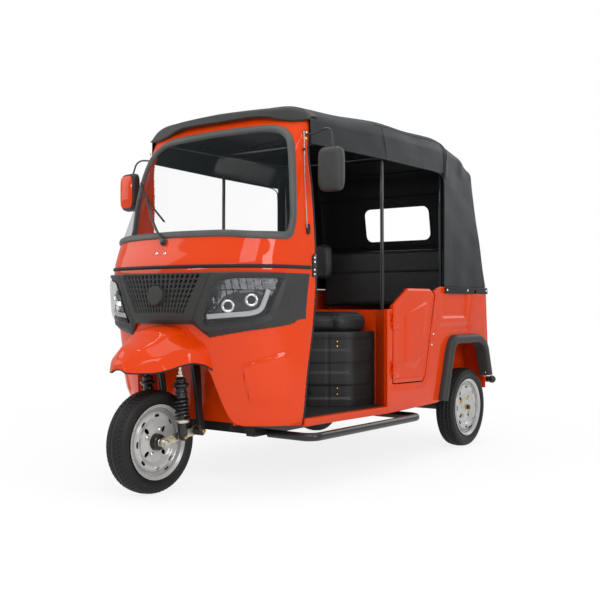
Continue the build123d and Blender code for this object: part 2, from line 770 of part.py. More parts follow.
def rim(x, distance, outward, bore_r):
    """Pressed steel wheel: drop-centre barrel, dished disc with slots and vents, and hub."""
    with BuildPart() as wheel:
        with BuildSketch(wheel_plane(x, distance)):
            with BuildLine():
                Polyline(
                    (-FLANGE_W / 2, FLANGE_R),
                    (-FLANGE_W / 2 + 4, FLANGE_R),
                    (-39, RIM_R),
                    (-14, RIM_R),
                    (-10, RIM_R - 12),
                    (14, RIM_R - 12),
                    (18, RIM_R),
                    (39, RIM_R),
                    (FLANGE_W / 2 - 4, FLANGE_R),
                    (FLANGE_W / 2, FLANGE_R),
                    (42, RIM_R - 4),
                    (20, RIM_R - 4),
                    (16, RIM_R - 16),
                    (-12, RIM_R - 16),
                    (-16, RIM_R - 4),
                    (-42, RIM_R - 4),
                    close=True,
                )
            make_face()
        axis = Axis((x, aft(distance), TYRE_R), (1, 0, 0))
        revolve(axis=axis)
        o = outward
        with BuildSketch(wheel_plane(x, distance)):
            with BuildLine():
                Polyline(
                    (o * 10, RIM_R - 12),
                    (o * 10, RIM_R - 17),
                    (o * 30, 128),
                    (o * 30, 104),
                    (o * 14, 92),
                    (o * 14, HUB_R - 6),
                    (o * 20, HUB_R - 6),
                    (o * 20, 90),
                    (o * 36, 103),
                    (o * 36, 129),
                    (o * 16, RIM_R - 12),
                    close=True,
                )
            make_face()
        revolve(axis=axis)
        face_plane = Plane(origin=(x, aft(distance), TYRE_R), x_dir=(0, 1, 0), z_dir=(1, 0, 0))
        with BuildSketch(face_plane):
            with PolarLocations(116, SLOT_COUNT):
                SlotOverall(30, 11, rotation=90)
            with PolarLocations(70, VENT_COUNT, start_angle=45):
                Circle(8)
        extrude(amount=o * 60, mode=Mode.SUBTRACT)
        with BuildSketch(face_plane.offset(-HUB_W / 2)):
            Circle(HUB_R)
        extrude(amount=HUB_W)
        with BuildSketch(face_plane.offset(-HUB_W)):
            Circle(bore_r)
        extrude(amount=2 * HUB_W, mode=Mode.SUBTRACT)
    return wheel.part


WHEELS = [
    ("front", 0.0, 0.0, 1, AXLE_R + RUNNING_GAP),
    ("rear_left", REAR_TRACK / 2, WHEELBASE, 1, STUB_R + RUNNING_GAP),
    ("rear_right", -REAR_TRACK / 2, WHEELBASE, -1, STUB_R + RUNNING_GAP),
]
for wheel_name, wheel_x, wheel_aft, wheel_out, wheel_bore in WHEELS:
    with BuildPart() as wheel_tyre:
        add(tyre(wheel_x, wheel_aft))
    finish(wheel_tyre, f"{wheel_name}_tyre")
    with BuildPart() as wheel_rim:
        add(rim(wheel_x, wheel_aft, wheel_out, wheel_bore))
    finish(wheel_rim, f"{wheel_name}_rim")

# ---------------------------------------------------------------- rear axle
DRUM_R = 88.0
DRUM_IN = 430.0
DRUM_OUT = 474.0
DIFF_R = 88.0
STUB_END = 585.0
with BuildPart() as rear_axle:
    with BuildSketch(wheel_plane(0, WHEELBASE)):
        with BuildLine():
            right = [
                (STUB_END, STUB_R),
                (DRUM_OUT, STUB_R),
                (DRUM_OUT, DRUM_R),
                (DRUM_IN, DRUM_R),
                (DRUM_IN, AXLE_TUBE_R),
                (110, AXLE_TUBE_R),
                (50, DIFF_R),
            ]
            left = [(-x, r) for x, r in reversed(right)]
            Polyline((STUB_END, 0), *right, *left, (-STUB_END, 0), close=True)
        make_face()
    revolve(axis=Axis((0, aft(WHEELBASE), TYRE_R), (1, 0, 0)))
finish(rear_axle, "rear_axle")

MOTOR_R = 82.0
MOTOR_AFT = WHEELBASE - 215
with BuildPart() as motor:
    add(rod((-95, aft(MOTOR_AFT), TYRE_R + 12), (95, aft(MOTOR_AFT), TYRE_R + 12), MOTOR_R))
    add(slab(-45, 45, MOTOR_AFT + 40, WHEELBASE - DIFF_R - 0.3, TYRE_R - 40, TYRE_R + 40))
finish(motor, "motor")

with BuildPart() as leaf_springs:
    for side in (-1, 1):
        for i in range(LEAF_COUNT):
            reach = LEAF_REACH - 70 * i
            sag = LEAF_SAG * (reach / LEAF_REACH) ** 2
            low = LEAF_LOW + LEAF_T * (LEAF_COUNT - 1 - i)
            near, far = aft(WHEELBASE - reach), aft(WHEELBASE + reach)
            side_plane = Plane(
                origin=(side * LEAF_X - LEAF_W / 2, 0, 0), x_dir=(0, 1, 0), z_dir=(1, 0, 0)
            )
            with BuildSketch(side_plane):
                with BuildLine():
                    ThreePointArc((near, low + sag), (aft(WHEELBASE), low), (far, low + sag))
                    Line((far, low + sag), (far, low + sag + LEAF_T))
                    ThreePointArc(
                        (far, low + sag + LEAF_T),
                        (aft(WHEELBASE), low + LEAF_T),
                        (near, low + sag + LEAF_T),
                    )
                    Line((near, low + sag + LEAF_T), (near, low + sag))
                make_face()
            extrude(amount=LEAF_W)
finish(leaf_springs, "leaf_springs")

# ---------------------------------------------------------------- floor and lower body
STEP_UP_AFT = 1540.0
FLOOR_PLAN = [(120, 362), (480, 362), (528, 440), (536, 560), (560, 1060), (560, STEP_UP_AFT)]
with BuildPart() as floor_pan:
    add(plan_prism(mirrored(FLOOR_PLAN), FLOOR_Z - FLOOR_T, FLOOR_Z))
    add(front_cowl.part, mode=Mode.SUBTRACT)
    add(slab(-560, 560, STEP_UP_AFT - 12, STEP_UP_AFT, FLOOR_Z - FLOOR_T, REAR_FLOOR_Z))
    add(slab(-560, 560, STEP_UP_AFT - 12, 1710, REAR_FLOOR_Z - REAR_FLOOR_T, REAR_FLOOR_Z))
    add(slab(-426, 426, 1700, 2280, REAR_FLOOR_Z - REAR_FLOOR_T, REAR_FLOOR_Z))
finish(floor_pan, "floor_pan")

SILL_PLAN = [(541, 436), (BODY_HALF, 1064.7), (BODY_HALF - 36, 1064.7), (511, 436)]
with BuildPart() as sills:
    add(both_sides(plan_prism(SILL_PLAN, SILL_LOW_Z, SILL_LOW_Z + SILL_H)))
    add(floor_pan.part, mode=Mode.SUBTRACT)
    add(front_cowl.part, mode=Mode.SUBTRACT)
finish(sills, "sills")

BULKHEAD_HALF = 472.0
BULKHEAD_PLAN = [
    (BULKHEAD_HALF, BULKHEAD_AFT),
    (BODY_HALF - PANEL_T - 0.2, PANEL_FRONT_AFT + 4),
    (BODY_HALF - PANEL_T - 0.2, PANEL_FRONT_AFT + BULKHEAD_T + 10),
    (BULKHEAD_HALF, BULKHEAD_AFT + BULKHEAD_T),
]
with BuildPart() as bulkhead:
    add(plan_prism(mirrored(BULKHEAD_PLAN), FLOOR_Z + 0.2, BULKHEAD_TOP_Z))
finish(bulkhead, "bulkhead")

# Side panel with its door opening and wheel arch.
DOOR_OUTLINE = [(1122, 442), (1126, 846), (1273, 930), (1515, 930), (1575, 900), (1467, 468), (1436, 434)]
DOOR_ROUND = 14.0
ARCH_EDGE = [(1664, 306), (1752, 590), (1788, 620), (2094, 617), (2160, 580), (2214, 412)]
ARCH_OUTLINE = [(1632, 200)] + ARCH_EDGE + [(2290, 200)]
PANEL_OUTLINE = [
    (PANEL_FRONT_AFT, TUB_LOW_Z),
    (PANEL_FRONT_AFT, BULKHEAD_TOP_Z + 4),
    (1145, BULKHEAD_TOP_Z + 4),
    (1290, 922),
    (1540, 912),
    (1590, 926),
    (1640, PANEL_TOP_Z),
    (TAIL_TOP_AFT, PANEL_TOP_Z),
    (PANEL_REAR_AFT, 420),
    (2256, 404),
    (1600, 300),
]


def grown(points, margin):
    """Outline of (aft, z) points let out by a margin, as a side prism through the panel."""
    with BuildPart() as prism:
        with BuildSketch(Plane(origin=(400, 0, 0), x_dir=(0, 1, 0), z_dir=(1, 0, 0))) as face:
            with BuildLine():
                Polyline(*[(aft(a), z) for a, z in points], close=True)
            make_face()
            fillet(face.vertices(), DOOR_ROUND)
            if margin:
                offset(amount=margin, kind=Kind.INTERSECTION)
        extrude(amount=300)
    return prism.part


with BuildPart() as side_panel:
    add(side_prism(PANEL_OUTLINE, BODY_HALF - PANEL_T, BODY_HALF))
    add(grown(DOOR_OUTLINE, DOOR_GAP), mode=Mode.SUBTRACT)
    add(side_prism(ARCH_OUTLINE, 500, 700), mode=Mode.SUBTRACT)
with BuildPart() as side_panels:
    add(both_sides(side_panel.part))
finish(side_panels, "side_panels")

with BuildPart() as tail_panel:
    tail_side = [
        (TAIL_TOP_AFT + 0.2, PANEL_TOP_Z),
        (PANEL_REAR_AFT + 0.2, 420),
        (PANEL_REAR_AFT + TAIL_T, 420),
        (TAIL_TOP_AFT + TAIL_T, PANEL_TOP_Z),
    ]
    add(side_prism(tail_side, -BODY_HALF, BODY_HALF))
finish(tail_panel, "tail_panel")

# Wheel houses close the arches from the passenger space.
HOUSE_IN = 428.0
HOUSE_T = 6.0
HOUSE_REAR = 2284.0
with BuildPart() as wheel_house:
    add(slab(HOUSE_IN, BODY_HALF - PANEL_T - 0.2, 1715, HOUSE_REAR, 330, 690))
    add(
        slab(HOUSE_IN + HOUSE_T, 700, 1715 + HOUSE_T, HOUSE_REAR - HOUSE_T, 300, 690 - HOUSE_T),
        mode=Mode.SUBTRACT,
    )
with BuildPart() as wheel_houses:
    add(both_sides(wheel_house.part))
finish(wheel_houses, "wheel_houses")

# Arch flares: a raised band round the wheel arch.
FLARE_OUT = 640.0
FLARE_OUTER = [(1614, 312), (1711, 626), (1770, 672), (2107, 667), (2201, 616), (2266, 419)]
with BuildPart() as flare:
    with BuildSketch(Plane(origin=(BODY_HALF + 0.2, 0, 0), x_dir=(0, 1, 0), z_dir=(1, 0, 0))) as band:
        with BuildLine():
            Polyline(*[(aft(a), z) for a, z in FLARE_OUTER + ARCH_EDGE[::-1]], close=True)
        make_face()
        fillet(band.vertices().filter_by(lambda v: v.Z > 500), 18)
    extrude(amount=FLARE_OUT - BODY_HALF)
with BuildPart() as wheel_flares:
    add(both_sides(flare.part))
finish(wheel_flares, "wheel_flares")

# ---------------------------------------------------------------- doors
BARREL_L = 34.0
LEAF_PLATE_T = 3.0


def hinge_barrel(z0, z1):
    """Round knuckle of the door hinge between two heights."""
    return rod((BODY_HALF + HINGE_R, aft(HINGE_AFT), z0), (BODY_HALF + HINGE_R, aft(HINGE_AFT), z1), HINGE_R)


with BuildPart() as door:
    add(side_prism(DOOR_OUTLINE, BODY_HALF - DOOR_T, BODY_HALF, round_r=DOOR_ROUND))
    for hinge_z in HINGE_ZS:
        add(hinge_barrel(hinge_z - BARREL_L / 2, hinge_z + BARREL_L / 2))
        low, high = hinge_z - BARREL_L / 2, hinge_z + BARREL_L / 2
        add(slab(BODY_HALF, BODY_HALF + LEAF_PLATE_T, HINGE_AFT, HINGE_AFT + 46, low, high))
        add(
            rod(
                (BODY_HALF + HINGE_R, aft(HINGE_AFT), hinge_z - 60),
                (BODY_HALF + HINGE_R, aft(HINGE_AFT), hinge_z + 60),
                HINGE_PIN_R + RUNNING_GAP,
            ),
            mode=Mode.SUBTRACT,
        )
with BuildPart() as door_left:
    add(door.part)
finish(door_left, "door_left")
with BuildPart() as door_right:
    add(door.part)
    mirror(about=Plane.YZ, mode=Mode.REPLACE)
finish(door_right, "door_right")

with BuildPart() as hinge_set:
    for hinge_z in HINGE_ZS:
        for step in (-1, 1):
            near = hinge_z + step * (BARREL_L / 2 + 0.5)
            far = hinge_z + step * (BARREL_L / 2 + 18)
            add(hinge_barrel(near, far))
            add(slab(BODY_HALF + 0.2, BODY_HALF + LEAF_PLATE_T, HINGE_AFT - 22, HINGE_AFT, near, far))
        add(
            rod(
                (BODY_HALF + HINGE_R, aft(HINGE_AFT), hinge_z - 35),
                (BODY_HALF + HINGE_R, aft(HINGE_AFT), hinge_z + 35),
                HINGE_PIN_R,
            )
        )
with BuildPart() as door_hinges:
    add(both_sides(hinge_set.part))
finish(door_hinges, "door_hinges")

# ---------------------------------------------------------------- seats
SEAT_BOX_TOP = 706.0
SEAT_BOX_PLAN = [(240, 838), (428, 979), (468, 1150)]
with BuildPart() as seat_box:
    add(plan_prism(mirrored(SEAT_BOX_PLAN), FLOOR_Z + 0.2, SEAT_BOX_TOP, round_r=30))
finish(seat_box, "seat_box")

with BuildPart() as driver_seat:
    cushion_plan = [(240, 830), (424, 968), (462, 1146)]
    add(plan_prism(mirrored(cushion_plan), SEAT_BOX_TOP + 0.3, 808, round_r=34))
    add(front_prism(mirrored([(228, 965), (228, 1185)]), 1096, 1156, round_r=40))
    add(slab(-60, 60, 1157, 1168, BULKHEAD_TOP_Z + 0.3, 1100))
    add(slab(-60, 60, 1150, 1160, 1000, 1100))
finish(driver_seat, "driver_seat")

SEAT_FRONT = 1780.0
SEAT_BASE_TOP = 700.0
with BuildPart() as passenger_seat_base:
    add(slab(-426, 426, SEAT_FRONT, 2250, REAR_FLOOR_Z + 0.3, SEAT_BASE_TOP))
    add(slab(-414, 414, SEAT_FRONT + 12, 2238, REAR_FLOOR_Z - 5, SEAT_BASE_TOP - 12), mode=Mode.SUBTRACT)
finish(passenger_seat_base, "passenger_seat_base")

with BuildPart() as battery_box:
    add(slab(-330, 330, SEAT_FRONT + 20, 2030, REAR_FLOOR_Z + 0.3, 640))
finish(battery_box, "battery_box")

with BuildPart() as passenger_seat:
    add(slab(-560, 560, 1742, 2130, SEAT_BASE_TOP + 0.3, 800))
    add(slab(-540, 540, 2085, 2140, 800 + SEAT_GAP, 1225))
finish(passenger_seat, "passenger_seat")

# ---------------------------------------------------------------- canopy
Rib = namedtuple("Rib", "aft foot half shoulder_z crown_z")
CANOPY_RIBS = [
    Rib(500, 516, 516, 1722, 1784),
    Rib(1090, 566, 566, 1757, 1812),
    Rib(1690, 592, 584, 1775, 1815),
    Rib(1894, 594, 576, 1710, 1748),
    Rib(1990, 595, 570, 1664, 1704),
    Rib(2110, 596, 565, 1610, 1655),
    Rib(2300, 596, 562, 1600, 1650),
]
CANOPY_SIDE = [
    (500, CANOPY_HEM_Z),
    (500, 1900),
    (2070, 1900),
    (2110, 1655),
    (2150, 1600),
    (2168, 1526),
    (2266, CANOPY_HEM_Z),
]
SHOULDER_R = 46.0


def canopy_solid(inset, low):
    """Canopy body through its ribs, cut to the sloping back."""
    with BuildPart() as body:
        faces = []
        for r in CANOPY_RIBS:
            here = Plane(origin=(0, aft(r.aft), 0), x_dir=(1, 0, 0), z_dir=(0, -1, 0))
            half, foot, eave = r.half - inset, r.foot - inset, r.shoulder_z - SHOULDER_R
            turn_x, turn_z = half - SHOULDER_R * 0.3, r.shoulder_z - inset - SHOULDER_R * 0.3
            in_x = half - SHOULDER_R
            with BuildSketch(here, mode=Mode.PRIVATE) as rib:
                with BuildLine():
                    Line((-foot, low), (foot, low))
                    Line((foot, low), (half, eave))
                    ThreePointArc((half, eave), (turn_x, turn_z), (in_x, r.shoulder_z - inset))
                    ThreePointArc(
                        (in_x, r.shoulder_z - inset),
                        (0, r.crown_z - inset),
                        (-in_x, r.shoulder_z - inset),
                    )
                    ThreePointArc((-in_x, r.shoulder_z - inset), (-turn_x, turn_z), (-half, eave))
                    Line((-half, eave), (-foot, low))
                make_face()
            faces.append(rib.sketch.face())
        loft(sections=faces, ruled=True)
        back = [(a - inset if a > 600 else a - 4 * inset, z) for a, z in CANOPY_SIDE]
        add(side_prism(back, -700, 700), mode=Mode.INTERSECT)
    return body.part


SIDE_OPENING = [
    (400, 700),
    (400, VALANCE_Z - 6),
    (1100, VALANCE_Z),
    (QUARTER_AFT - 40, VALANCE_Z),
    (QUARTER_AFT, VALANCE_Z - 48),
    (QUARTER_AFT, 700),
]
REAR_WINDOW = [(-239, 1255), (-239, 1467), (239, 1467), (239, 1255)]
with BuildPart() as canopy:
    add(canopy_solid(0, CANOPY_HEM_Z))
    add(canopy_solid(CANOPY_T, CANOPY_HEM_Z - 60), mode=Mode.SUBTRACT)
    add(side_prism(SIDE_OPENING, -700, 700), mode=Mode.SUBTRACT)
    add(front_prism(REAR_WINDOW, 1900, 2400, round_r=40), mode=Mode.SUBTRACT)
    add(slab(-700, 700, 300, CAB_REAR_AFT + SEAT_GAP, 900, 1900), mode=Mode.SUBTRACT)
finish(canopy, "canopy")

with BuildPart() as hem_strip:
    add(both_sides(slab(BODY_HALF + 0.3, BODY_HALF + 5, QUARTER_AFT + 4, 2262, 904, 944)))
finish(hem_strip, "hem_strip")

HOOP_TOP_Z = 1722.0
HOUSE_TOP_Z = 690.0
HOOPS = [
    (POST_AFT, POST_X, BULKHEAD_TOP_Z + SEAT_GAP),
    (QUARTER_POST_AFT, 553, HOUSE_TOP_Z + SEAT_GAP),
]
with BuildPart() as canopy_frame:
    for hoop_aft, foot_x, foot_z in HOOPS:
        add(
            pipe(
                [
                    (-foot_x, aft(hoop_aft), foot_z),
                    (-foot_x + 4, aft(hoop_aft), HOOP_TOP_Z),
                    (foot_x - 4, aft(hoop_aft), HOOP_TOP_Z),
                    (foot_x, aft(hoop_aft), foot_z),
                ],
                POST_R,
                60,
            )
        )
    for side in (-1, 1):
        rail_end = (side * 530, aft(QUARTER_POST_AFT + 6), HOOP_TOP_Z - 6)
        add(rod((side * 470, aft(566), 1694), rail_end, POST_R))
finish(canopy_frame, "canopy_frame")

# ---------------------------------------------------------------- steps, bumper, small pieces
with BuildPart() as step_bar:
    add(
        pipe(
            [
                (RAIL_X + RAIL_W / 2 + 0.2, aft(STEP_FRONT_AFT), STEP_Z),
                (STEP_FRONT_X, aft(STEP_FRONT_AFT), STEP_Z),
                (STEP_X, aft(STEP_REAR_AFT), STEP_Z),
                (RAIL_X + RAIL_W / 2 + 0.2, aft(STEP_REAR_AFT), STEP_Z),
            ],
            STEP_R,
            60,
        )
    )
with BuildPart() as step_bars:
    add(both_sides(step_bar.part))
finish(step_bars, "step_bars")

with BuildPart() as rear_bumper:
    left_end = (BUMPER_HALF, aft(BUMPER_AFT), BUMPER_Z)
    right_end = (-BUMPER_HALF, aft(BUMPER_AFT), BUMPER_Z)
    add(rod(right_end, left_end, BUMPER_TUBE_R))
    with Locations(right_end, left_end):
        Sphere(BUMPER_BALL_R)
    for side in (-1, 1):
        add(slab(side * RAIL_X - 20, side * RAIL_X + 20, 2334.2, BUMPER_AFT, 355, 390))
finish(rear_bumper, "rear_bumper")

MIRROR_X = 652.0
MIRROR_AFT = 488.0
MIRROR_Z = 1457.0
with BuildPart() as mirror_head:
    with BuildSketch(Plane(origin=(MIRROR_X, aft(MIRROR_AFT), MIRROR_Z), x_dir=(1, 0, 0), z_dir=(0, -1, 0))):
        RectangleRounded(126, 203, 26)
    extrude(amount=34, taper=12)
    fillet(edges().group_by(Axis.Y)[0], 8)
    add(
        pipe(
            [
                (498, aft(505), 1624),
                (566, aft(500), 1620),
                (MIRROR_X - 24, aft(494), 1644),
                (MIRROR_X, aft(MIRROR_AFT - 12), MIRROR_Z + 50),
            ],
            5,
            14,
        )
    )
with BuildPart() as mirrors:
    add(both_sides(mirror_head.part))
    add(front_cowl.part, mode=Mode.SUBTRACT)
finish(mirrors, "mirrors")

with BuildPart() as wiper:
    add(pipe([(-34, aft(104), 1128), (-130, aft(166), 1226), (-272, aft(240), 1336)], 5, 200))
    add(pipe([(-87, aft(160), 1233), (-283, aft(250), 1352), (-479, aft(386), 1471)], 5, 200))
    with Locations((-34, aft(112), 1128)):
        Box(26, 24, 22)
    add(cowl_outer, mode=Mode.SUBTRACT)
    add(windscreen_seal.part, mode=Mode.SUBTRACT)
finish(wiper, "wiper")

with BuildPart() as antenna:
    add(rod((532, aft(460), 1196), (514, aft(462), 1640), 2.5))
    with Locations((532, aft(471), 1193)):
        Box(24, 24, 50)
    add(cowl_outer, mode=Mode.SUBTRACT)
finish(antenna, "antenna")

TAIL_SLOPE = (PANEL_REAR_AFT - TAIL_TOP_AFT) / (PANEL_TOP_Z - 420)


def tail_aft(z):
    """Distance behind the front axle of the tail panel's outer face at height z."""
    return PANEL_REAR_AFT + TAIL_T - (z - 420) * TAIL_SLOPE


with BuildPart() as tail_lamps:
    lamp_side = [
        (tail_aft(560) + SEAT_GAP, 560),
        (tail_aft(560) + 28, 566),
        (tail_aft(740) + 28, 734),
        (tail_aft(740) + SEAT_GAP, 740),
    ]
    add(both_sides(side_prism(lamp_side, 470, 560)))
finish(tail_lamps, "tail_lamps")
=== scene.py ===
"""Looks for a three-wheeled passenger rickshaw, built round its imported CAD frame.

Shapes are worked out in millimetres as (x, aft, z): x to the vehicle's left, aft behind the
front axle, z above the ground. model() turns them into the frame's metres.
"""

from __future__ import annotations

import functools
import json
import logging
import math
import operator
from dataclasses import dataclass, field
from enum import Enum
from typing import Iterable, Sequence

import bmesh
import bpy
import numpy as np
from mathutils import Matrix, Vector


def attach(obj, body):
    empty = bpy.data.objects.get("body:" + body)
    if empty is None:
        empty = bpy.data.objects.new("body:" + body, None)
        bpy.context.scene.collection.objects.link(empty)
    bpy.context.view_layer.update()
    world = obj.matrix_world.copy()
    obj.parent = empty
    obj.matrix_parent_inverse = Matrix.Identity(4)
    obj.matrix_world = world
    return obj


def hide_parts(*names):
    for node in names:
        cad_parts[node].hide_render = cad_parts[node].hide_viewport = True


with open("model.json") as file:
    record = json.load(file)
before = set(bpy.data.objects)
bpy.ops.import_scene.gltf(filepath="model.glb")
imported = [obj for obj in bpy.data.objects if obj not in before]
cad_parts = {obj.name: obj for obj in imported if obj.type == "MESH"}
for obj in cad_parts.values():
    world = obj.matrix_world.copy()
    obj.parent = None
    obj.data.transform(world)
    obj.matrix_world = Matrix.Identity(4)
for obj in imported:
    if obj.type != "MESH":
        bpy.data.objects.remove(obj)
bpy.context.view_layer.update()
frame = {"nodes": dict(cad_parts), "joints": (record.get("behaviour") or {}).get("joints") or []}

LOG = logging.getLogger("rickshaw")
MM = 0.001

# Driving sizes, from the middles of the frame's wheel joints.
PLACES = {joint["name"]: np.round(np.array(joint["pos_m"]) / MM, 3) for joint in frame["joints"]}
_, FRONT_AXLE_Y, TYRE_R = PLACES["front_wheel_spin"]
REAR_HALF_TRACK = PLACES["rear_left_spin"][0]
WHEELBASE = PLACES["rear_left_spin"][1] - FRONT_AXLE_Y

# The tail's foot as (aft, z), and how far it leans forwards for each unit of height.
TAIL_FOOT = (2330.0, 420.0)
TAIL_LEAN = 44.0 / 524.0

# Distance given to points where a cut doesn't reach; directions of an outline in side view.
UNCUT = 60.0
LEFT = (1, 0, 0)
SIDE_VIEW = ((0, 1, 0), (0, 0, 1))

Array = np.ndarray


# ------------------------------------------------------------------ numbers and curves
def model(points: Array) -> Array:
    """Millimetres behind the front axle to metres of the frame: shift Y, then scale."""
    out = np.array(points, float)
    out[..., 1] += FRONT_AXLE_Y
    return out * MM


def smooth(t: Array) -> Array:
    """Ease from 0 to 1: 3t^2 - 2t^3 on t held between 0 and 1."""
    t = np.clip(t, 0.0, 1.0)
    return t * t * (3.0 - 2.0 * t)


def bump(t: Array) -> Array:
    """Round ridge exp(-t^2)."""
    return np.exp(-np.square(t))


def quarter(t: Array, radius: float) -> Array:
    """Drop of a quarter circle: r - sqrt(r^2 - t^2) on t held between 0 and r."""
    t = np.clip(t, 0, radius)
    return radius - np.sqrt(np.maximum(radius * radius - t * t, 0))


def stack(*parts: Array) -> Array:
    """Arrays side by side as the coordinates of points."""
    return np.stack(np.broadcast_arrays(*parts), -1)


def unit(vectors: Array) -> Array:
    """Vectors divided by their lengths."""
    return vectors / np.linalg.norm(vectors, axis=-1, keepdims=True)


def tail_at(z: Array) -> Array:
    """Aft place of the leaning tail at a height."""
    return TAIL_FOOT[0] - (z - TAIL_FOOT[1]) * TAIL_LEAN


def monotone(x: Array, xs: Sequence[float], ys: Sequence[float]) -> Array:
    """Cubic through the table's points that never overshoots: Hermite pieces whose slopes
    are the harmonic means of the neighbouring chords, or 0 at a turn.

    Args:
        x: Where to read the curve; held inside the table.
        xs: Rising positions.
        ys: Values there.

    Returns:
        The curve's values, shaped like x.
    """
    xs, ys = np.asarray(xs, float), np.asarray(ys, float)
    step = np.diff(xs)
    chord = np.diff(ys) / step
    slope = np.concatenate(([chord[0]], np.zeros(len(xs) - 2), [chord[-1]]))
    same = chord[:-1] * chord[1:] > 0
    mean = 2.0 / (1.0 / np.where(same, chord[:-1], 1.0) + 1.0 / np.where(same, chord[1:], 1.0))
    slope[1:-1] = np.where(same, mean, 0.0)
    x = np.clip(x, xs[0], xs[-1])
    k = np.clip(np.searchsorted(xs, x) - 1, 0, len(step) - 1)
    h = step[k]
    t = (x - xs[k]) / h
    return (
        ys[k] * (1 + 2 * t) * (1 - t) ** 2
        + ys[k + 1] * t * t * (3 - 2 * t)
        + h * slope[k] * t * (1 - t) ** 2
        - h * slope[k + 1] * t * t * (1 - t)
    )


def polygon_distance(u: Array, v: Array, corners: Sequence[tuple[float, float]]) -> Array:
    """Signed distance to a polygon: the least distance to its edges, with its sign from
    the number of edges that a ray to the right crosses.

    Args:
        u: First coordinates of the points.
        v: Second coordinates.
        corners: The polygon's corners in order.

    Returns:
        Distances, positive inside.
    """
    c = np.asarray(corners, float)
    best = np.full(np.shape(u), 1e9)
    inside = np.zeros(np.shape(u), bool)
    for (x0, y0), (x1, y1) in zip(c, np.roll(c, -1, axis=0)):
        dx, dy = x1 - x0, y1 - y0
        t = np.clip(((u - x0) * dx + (v - y0) * dy) / (dx * dx + dy * dy), 0, 1)
        best = np.minimum(best, np.hypot(u - x0 - t * dx, v - y0 - t * dy))
        if y0 != y1:
            crosses = ((y0 > v) != (y1 > v)) & (u < x0 + (v - y0) / dy * dx)
            inside ^= crosses
    return np.where(inside, best, -best)


def inset(corners: Sequence[tuple[float, float]], margin: float) -> list[tuple[float, float]]:
    """Polygon with each edge moved inwards: its new corners are where neighbouring moved
    lines meet.

    Args:
        corners: The polygon's corners in order.
        margin: Distance inwards; below 0 it grows the polygon.

    Returns:
        The new corners.
    """
    c = np.asarray(corners, float)
    turn = np.sum(c[:, 0] * np.roll(c[:, 1], -1) - np.roll(c[:, 0], -1) * c[:, 1])
    edge = np.roll(c, -1, axis=0) - c
    edge /= np.linalg.norm(edge, axis=1, keepdims=True)
    inward = np.stack([-edge[:, 1], edge[:, 0]], 1) * np.sign(turn)
    back, out = np.roll(edge, 1, axis=0), []
    for p, e0, e1, n0, n1 in zip(c, back, edge, np.roll(inward, 1, axis=0), inward):
        cross = e0[0] * e1[1] - e0[1] * e1[0]
        if abs(cross) < 1e-6:
            out.append(tuple(p + n1 * margin))
            continue
        gap = (n1 - n0) * margin
        t = (gap[0] * e1[1] - gap[1] * e1[0]) / cross
        out.append(tuple(p + n0 * margin + e0 * t))
    return out


def rounded_distance(u: Array, v: Array, corners: Sequence, radius: float) -> Array:
    """Signed distance to a polygon with round corners: distance to the inset polygon plus
    the radius."""
    return polygon_distance(u, v, inset(corners, radius)) + radius


def fillet_line(points: Sequence, radius: float, steps: int = 6, closed: bool = False) -> Array:
    """Polyline with round corners: each corner p becomes the parabola
    (1-t)^2 a + 2t(1-t) p + t^2 b between points a and b that lie a radius away on its runs.

    Args:
        points: Corner points of any dimension.
        radius: Length taken from each run, or 0.45 of the run if that is less.
        steps: Points on each corner.
        closed: Whether the last point joins the first.

    Returns:
        Points along the line.
    """
    p = np.asarray(points, float)
    before, after = np.roll(p, 1, axis=0), np.roll(p, -1, axis=0)
    t = np.linspace(0, 1, steps)[:, None]
    out = []
    for i, (a, c, b) in enumerate(zip(before, p, after)):
        if not closed and i in (0, len(p) - 1):
            out.append(c[None])
            continue
        la, lb = np.linalg.norm(a - c), np.linalg.norm(b - c)
        ra, rb = min(radius, la * 0.45), min(radius, lb * 0.45)
        start, end = c + (a - c) / la * ra, c + (b - c) / lb * rb
        out.append((1 - t) ** 2 * start + 2 * t * (1 - t) * c + t**2 * end)
    return np.concatenate(out)


def resample(line: Array, spacing: float, closed: bool = False) -> Array:
    """Points at even steps of length along a polyline.

    Args:
        line: Its points.
        spacing: Step to come close to.
        closed: Whether the last point joins the first.

    Returns:
        The new points.
    """
    p = np.concatenate([line, line[:1]]) if closed else np.asarray(line, float)
    length = np.concatenate(([0.0], np.cumsum(np.linalg.norm(np.diff(p, axis=0), axis=1))))
    count = max(int(round(length[-1] / spacing)), 2)
    at = np.linspace(0, length[-1], count + 1)
    out = np.stack([np.interp(at, length, p[:, k]) for k in range(p.shape[1])], 1)
    return out[:-1] if closed else out


def surface_normals(points: Array) -> Array:
    """Unit normals of a grid of points: the cross product of its two gradients."""
    n = np.cross(np.gradient(points, axis=0), np.gradient(points, axis=1))
    return n / np.maximum(np.linalg.norm(n, axis=-1, keepdims=True), 1e-9)


def across_of(run: Array) -> Array:
    """A direction across a run: its cross product with Z, or with X where it is steep."""
    return np.cross(run, (0, 0, 1.0) if abs(run[2]) < 0.9 else (1.0, 0, 0))


def axes(s0: float, s1: float, v0: float, v1: float, step: float) -> tuple[Array, Array]:
    """Grid of two parameters, each from its first limit to its second at about one step."""
    u = np.linspace(s0, s1, max(int(round((s1 - s0) / step)), 2) + 1)
    v = np.linspace(v0, v1, max(int(round((v1 - v0) / step)), 2) + 1)
    return np.meshgrid(u, v, indexing="ij")


def full_turn(count: int) -> Array:
    """Angles of a full turn, without its end."""
    return np.linspace(0, 2 * math.pi, count, endpoint=False)


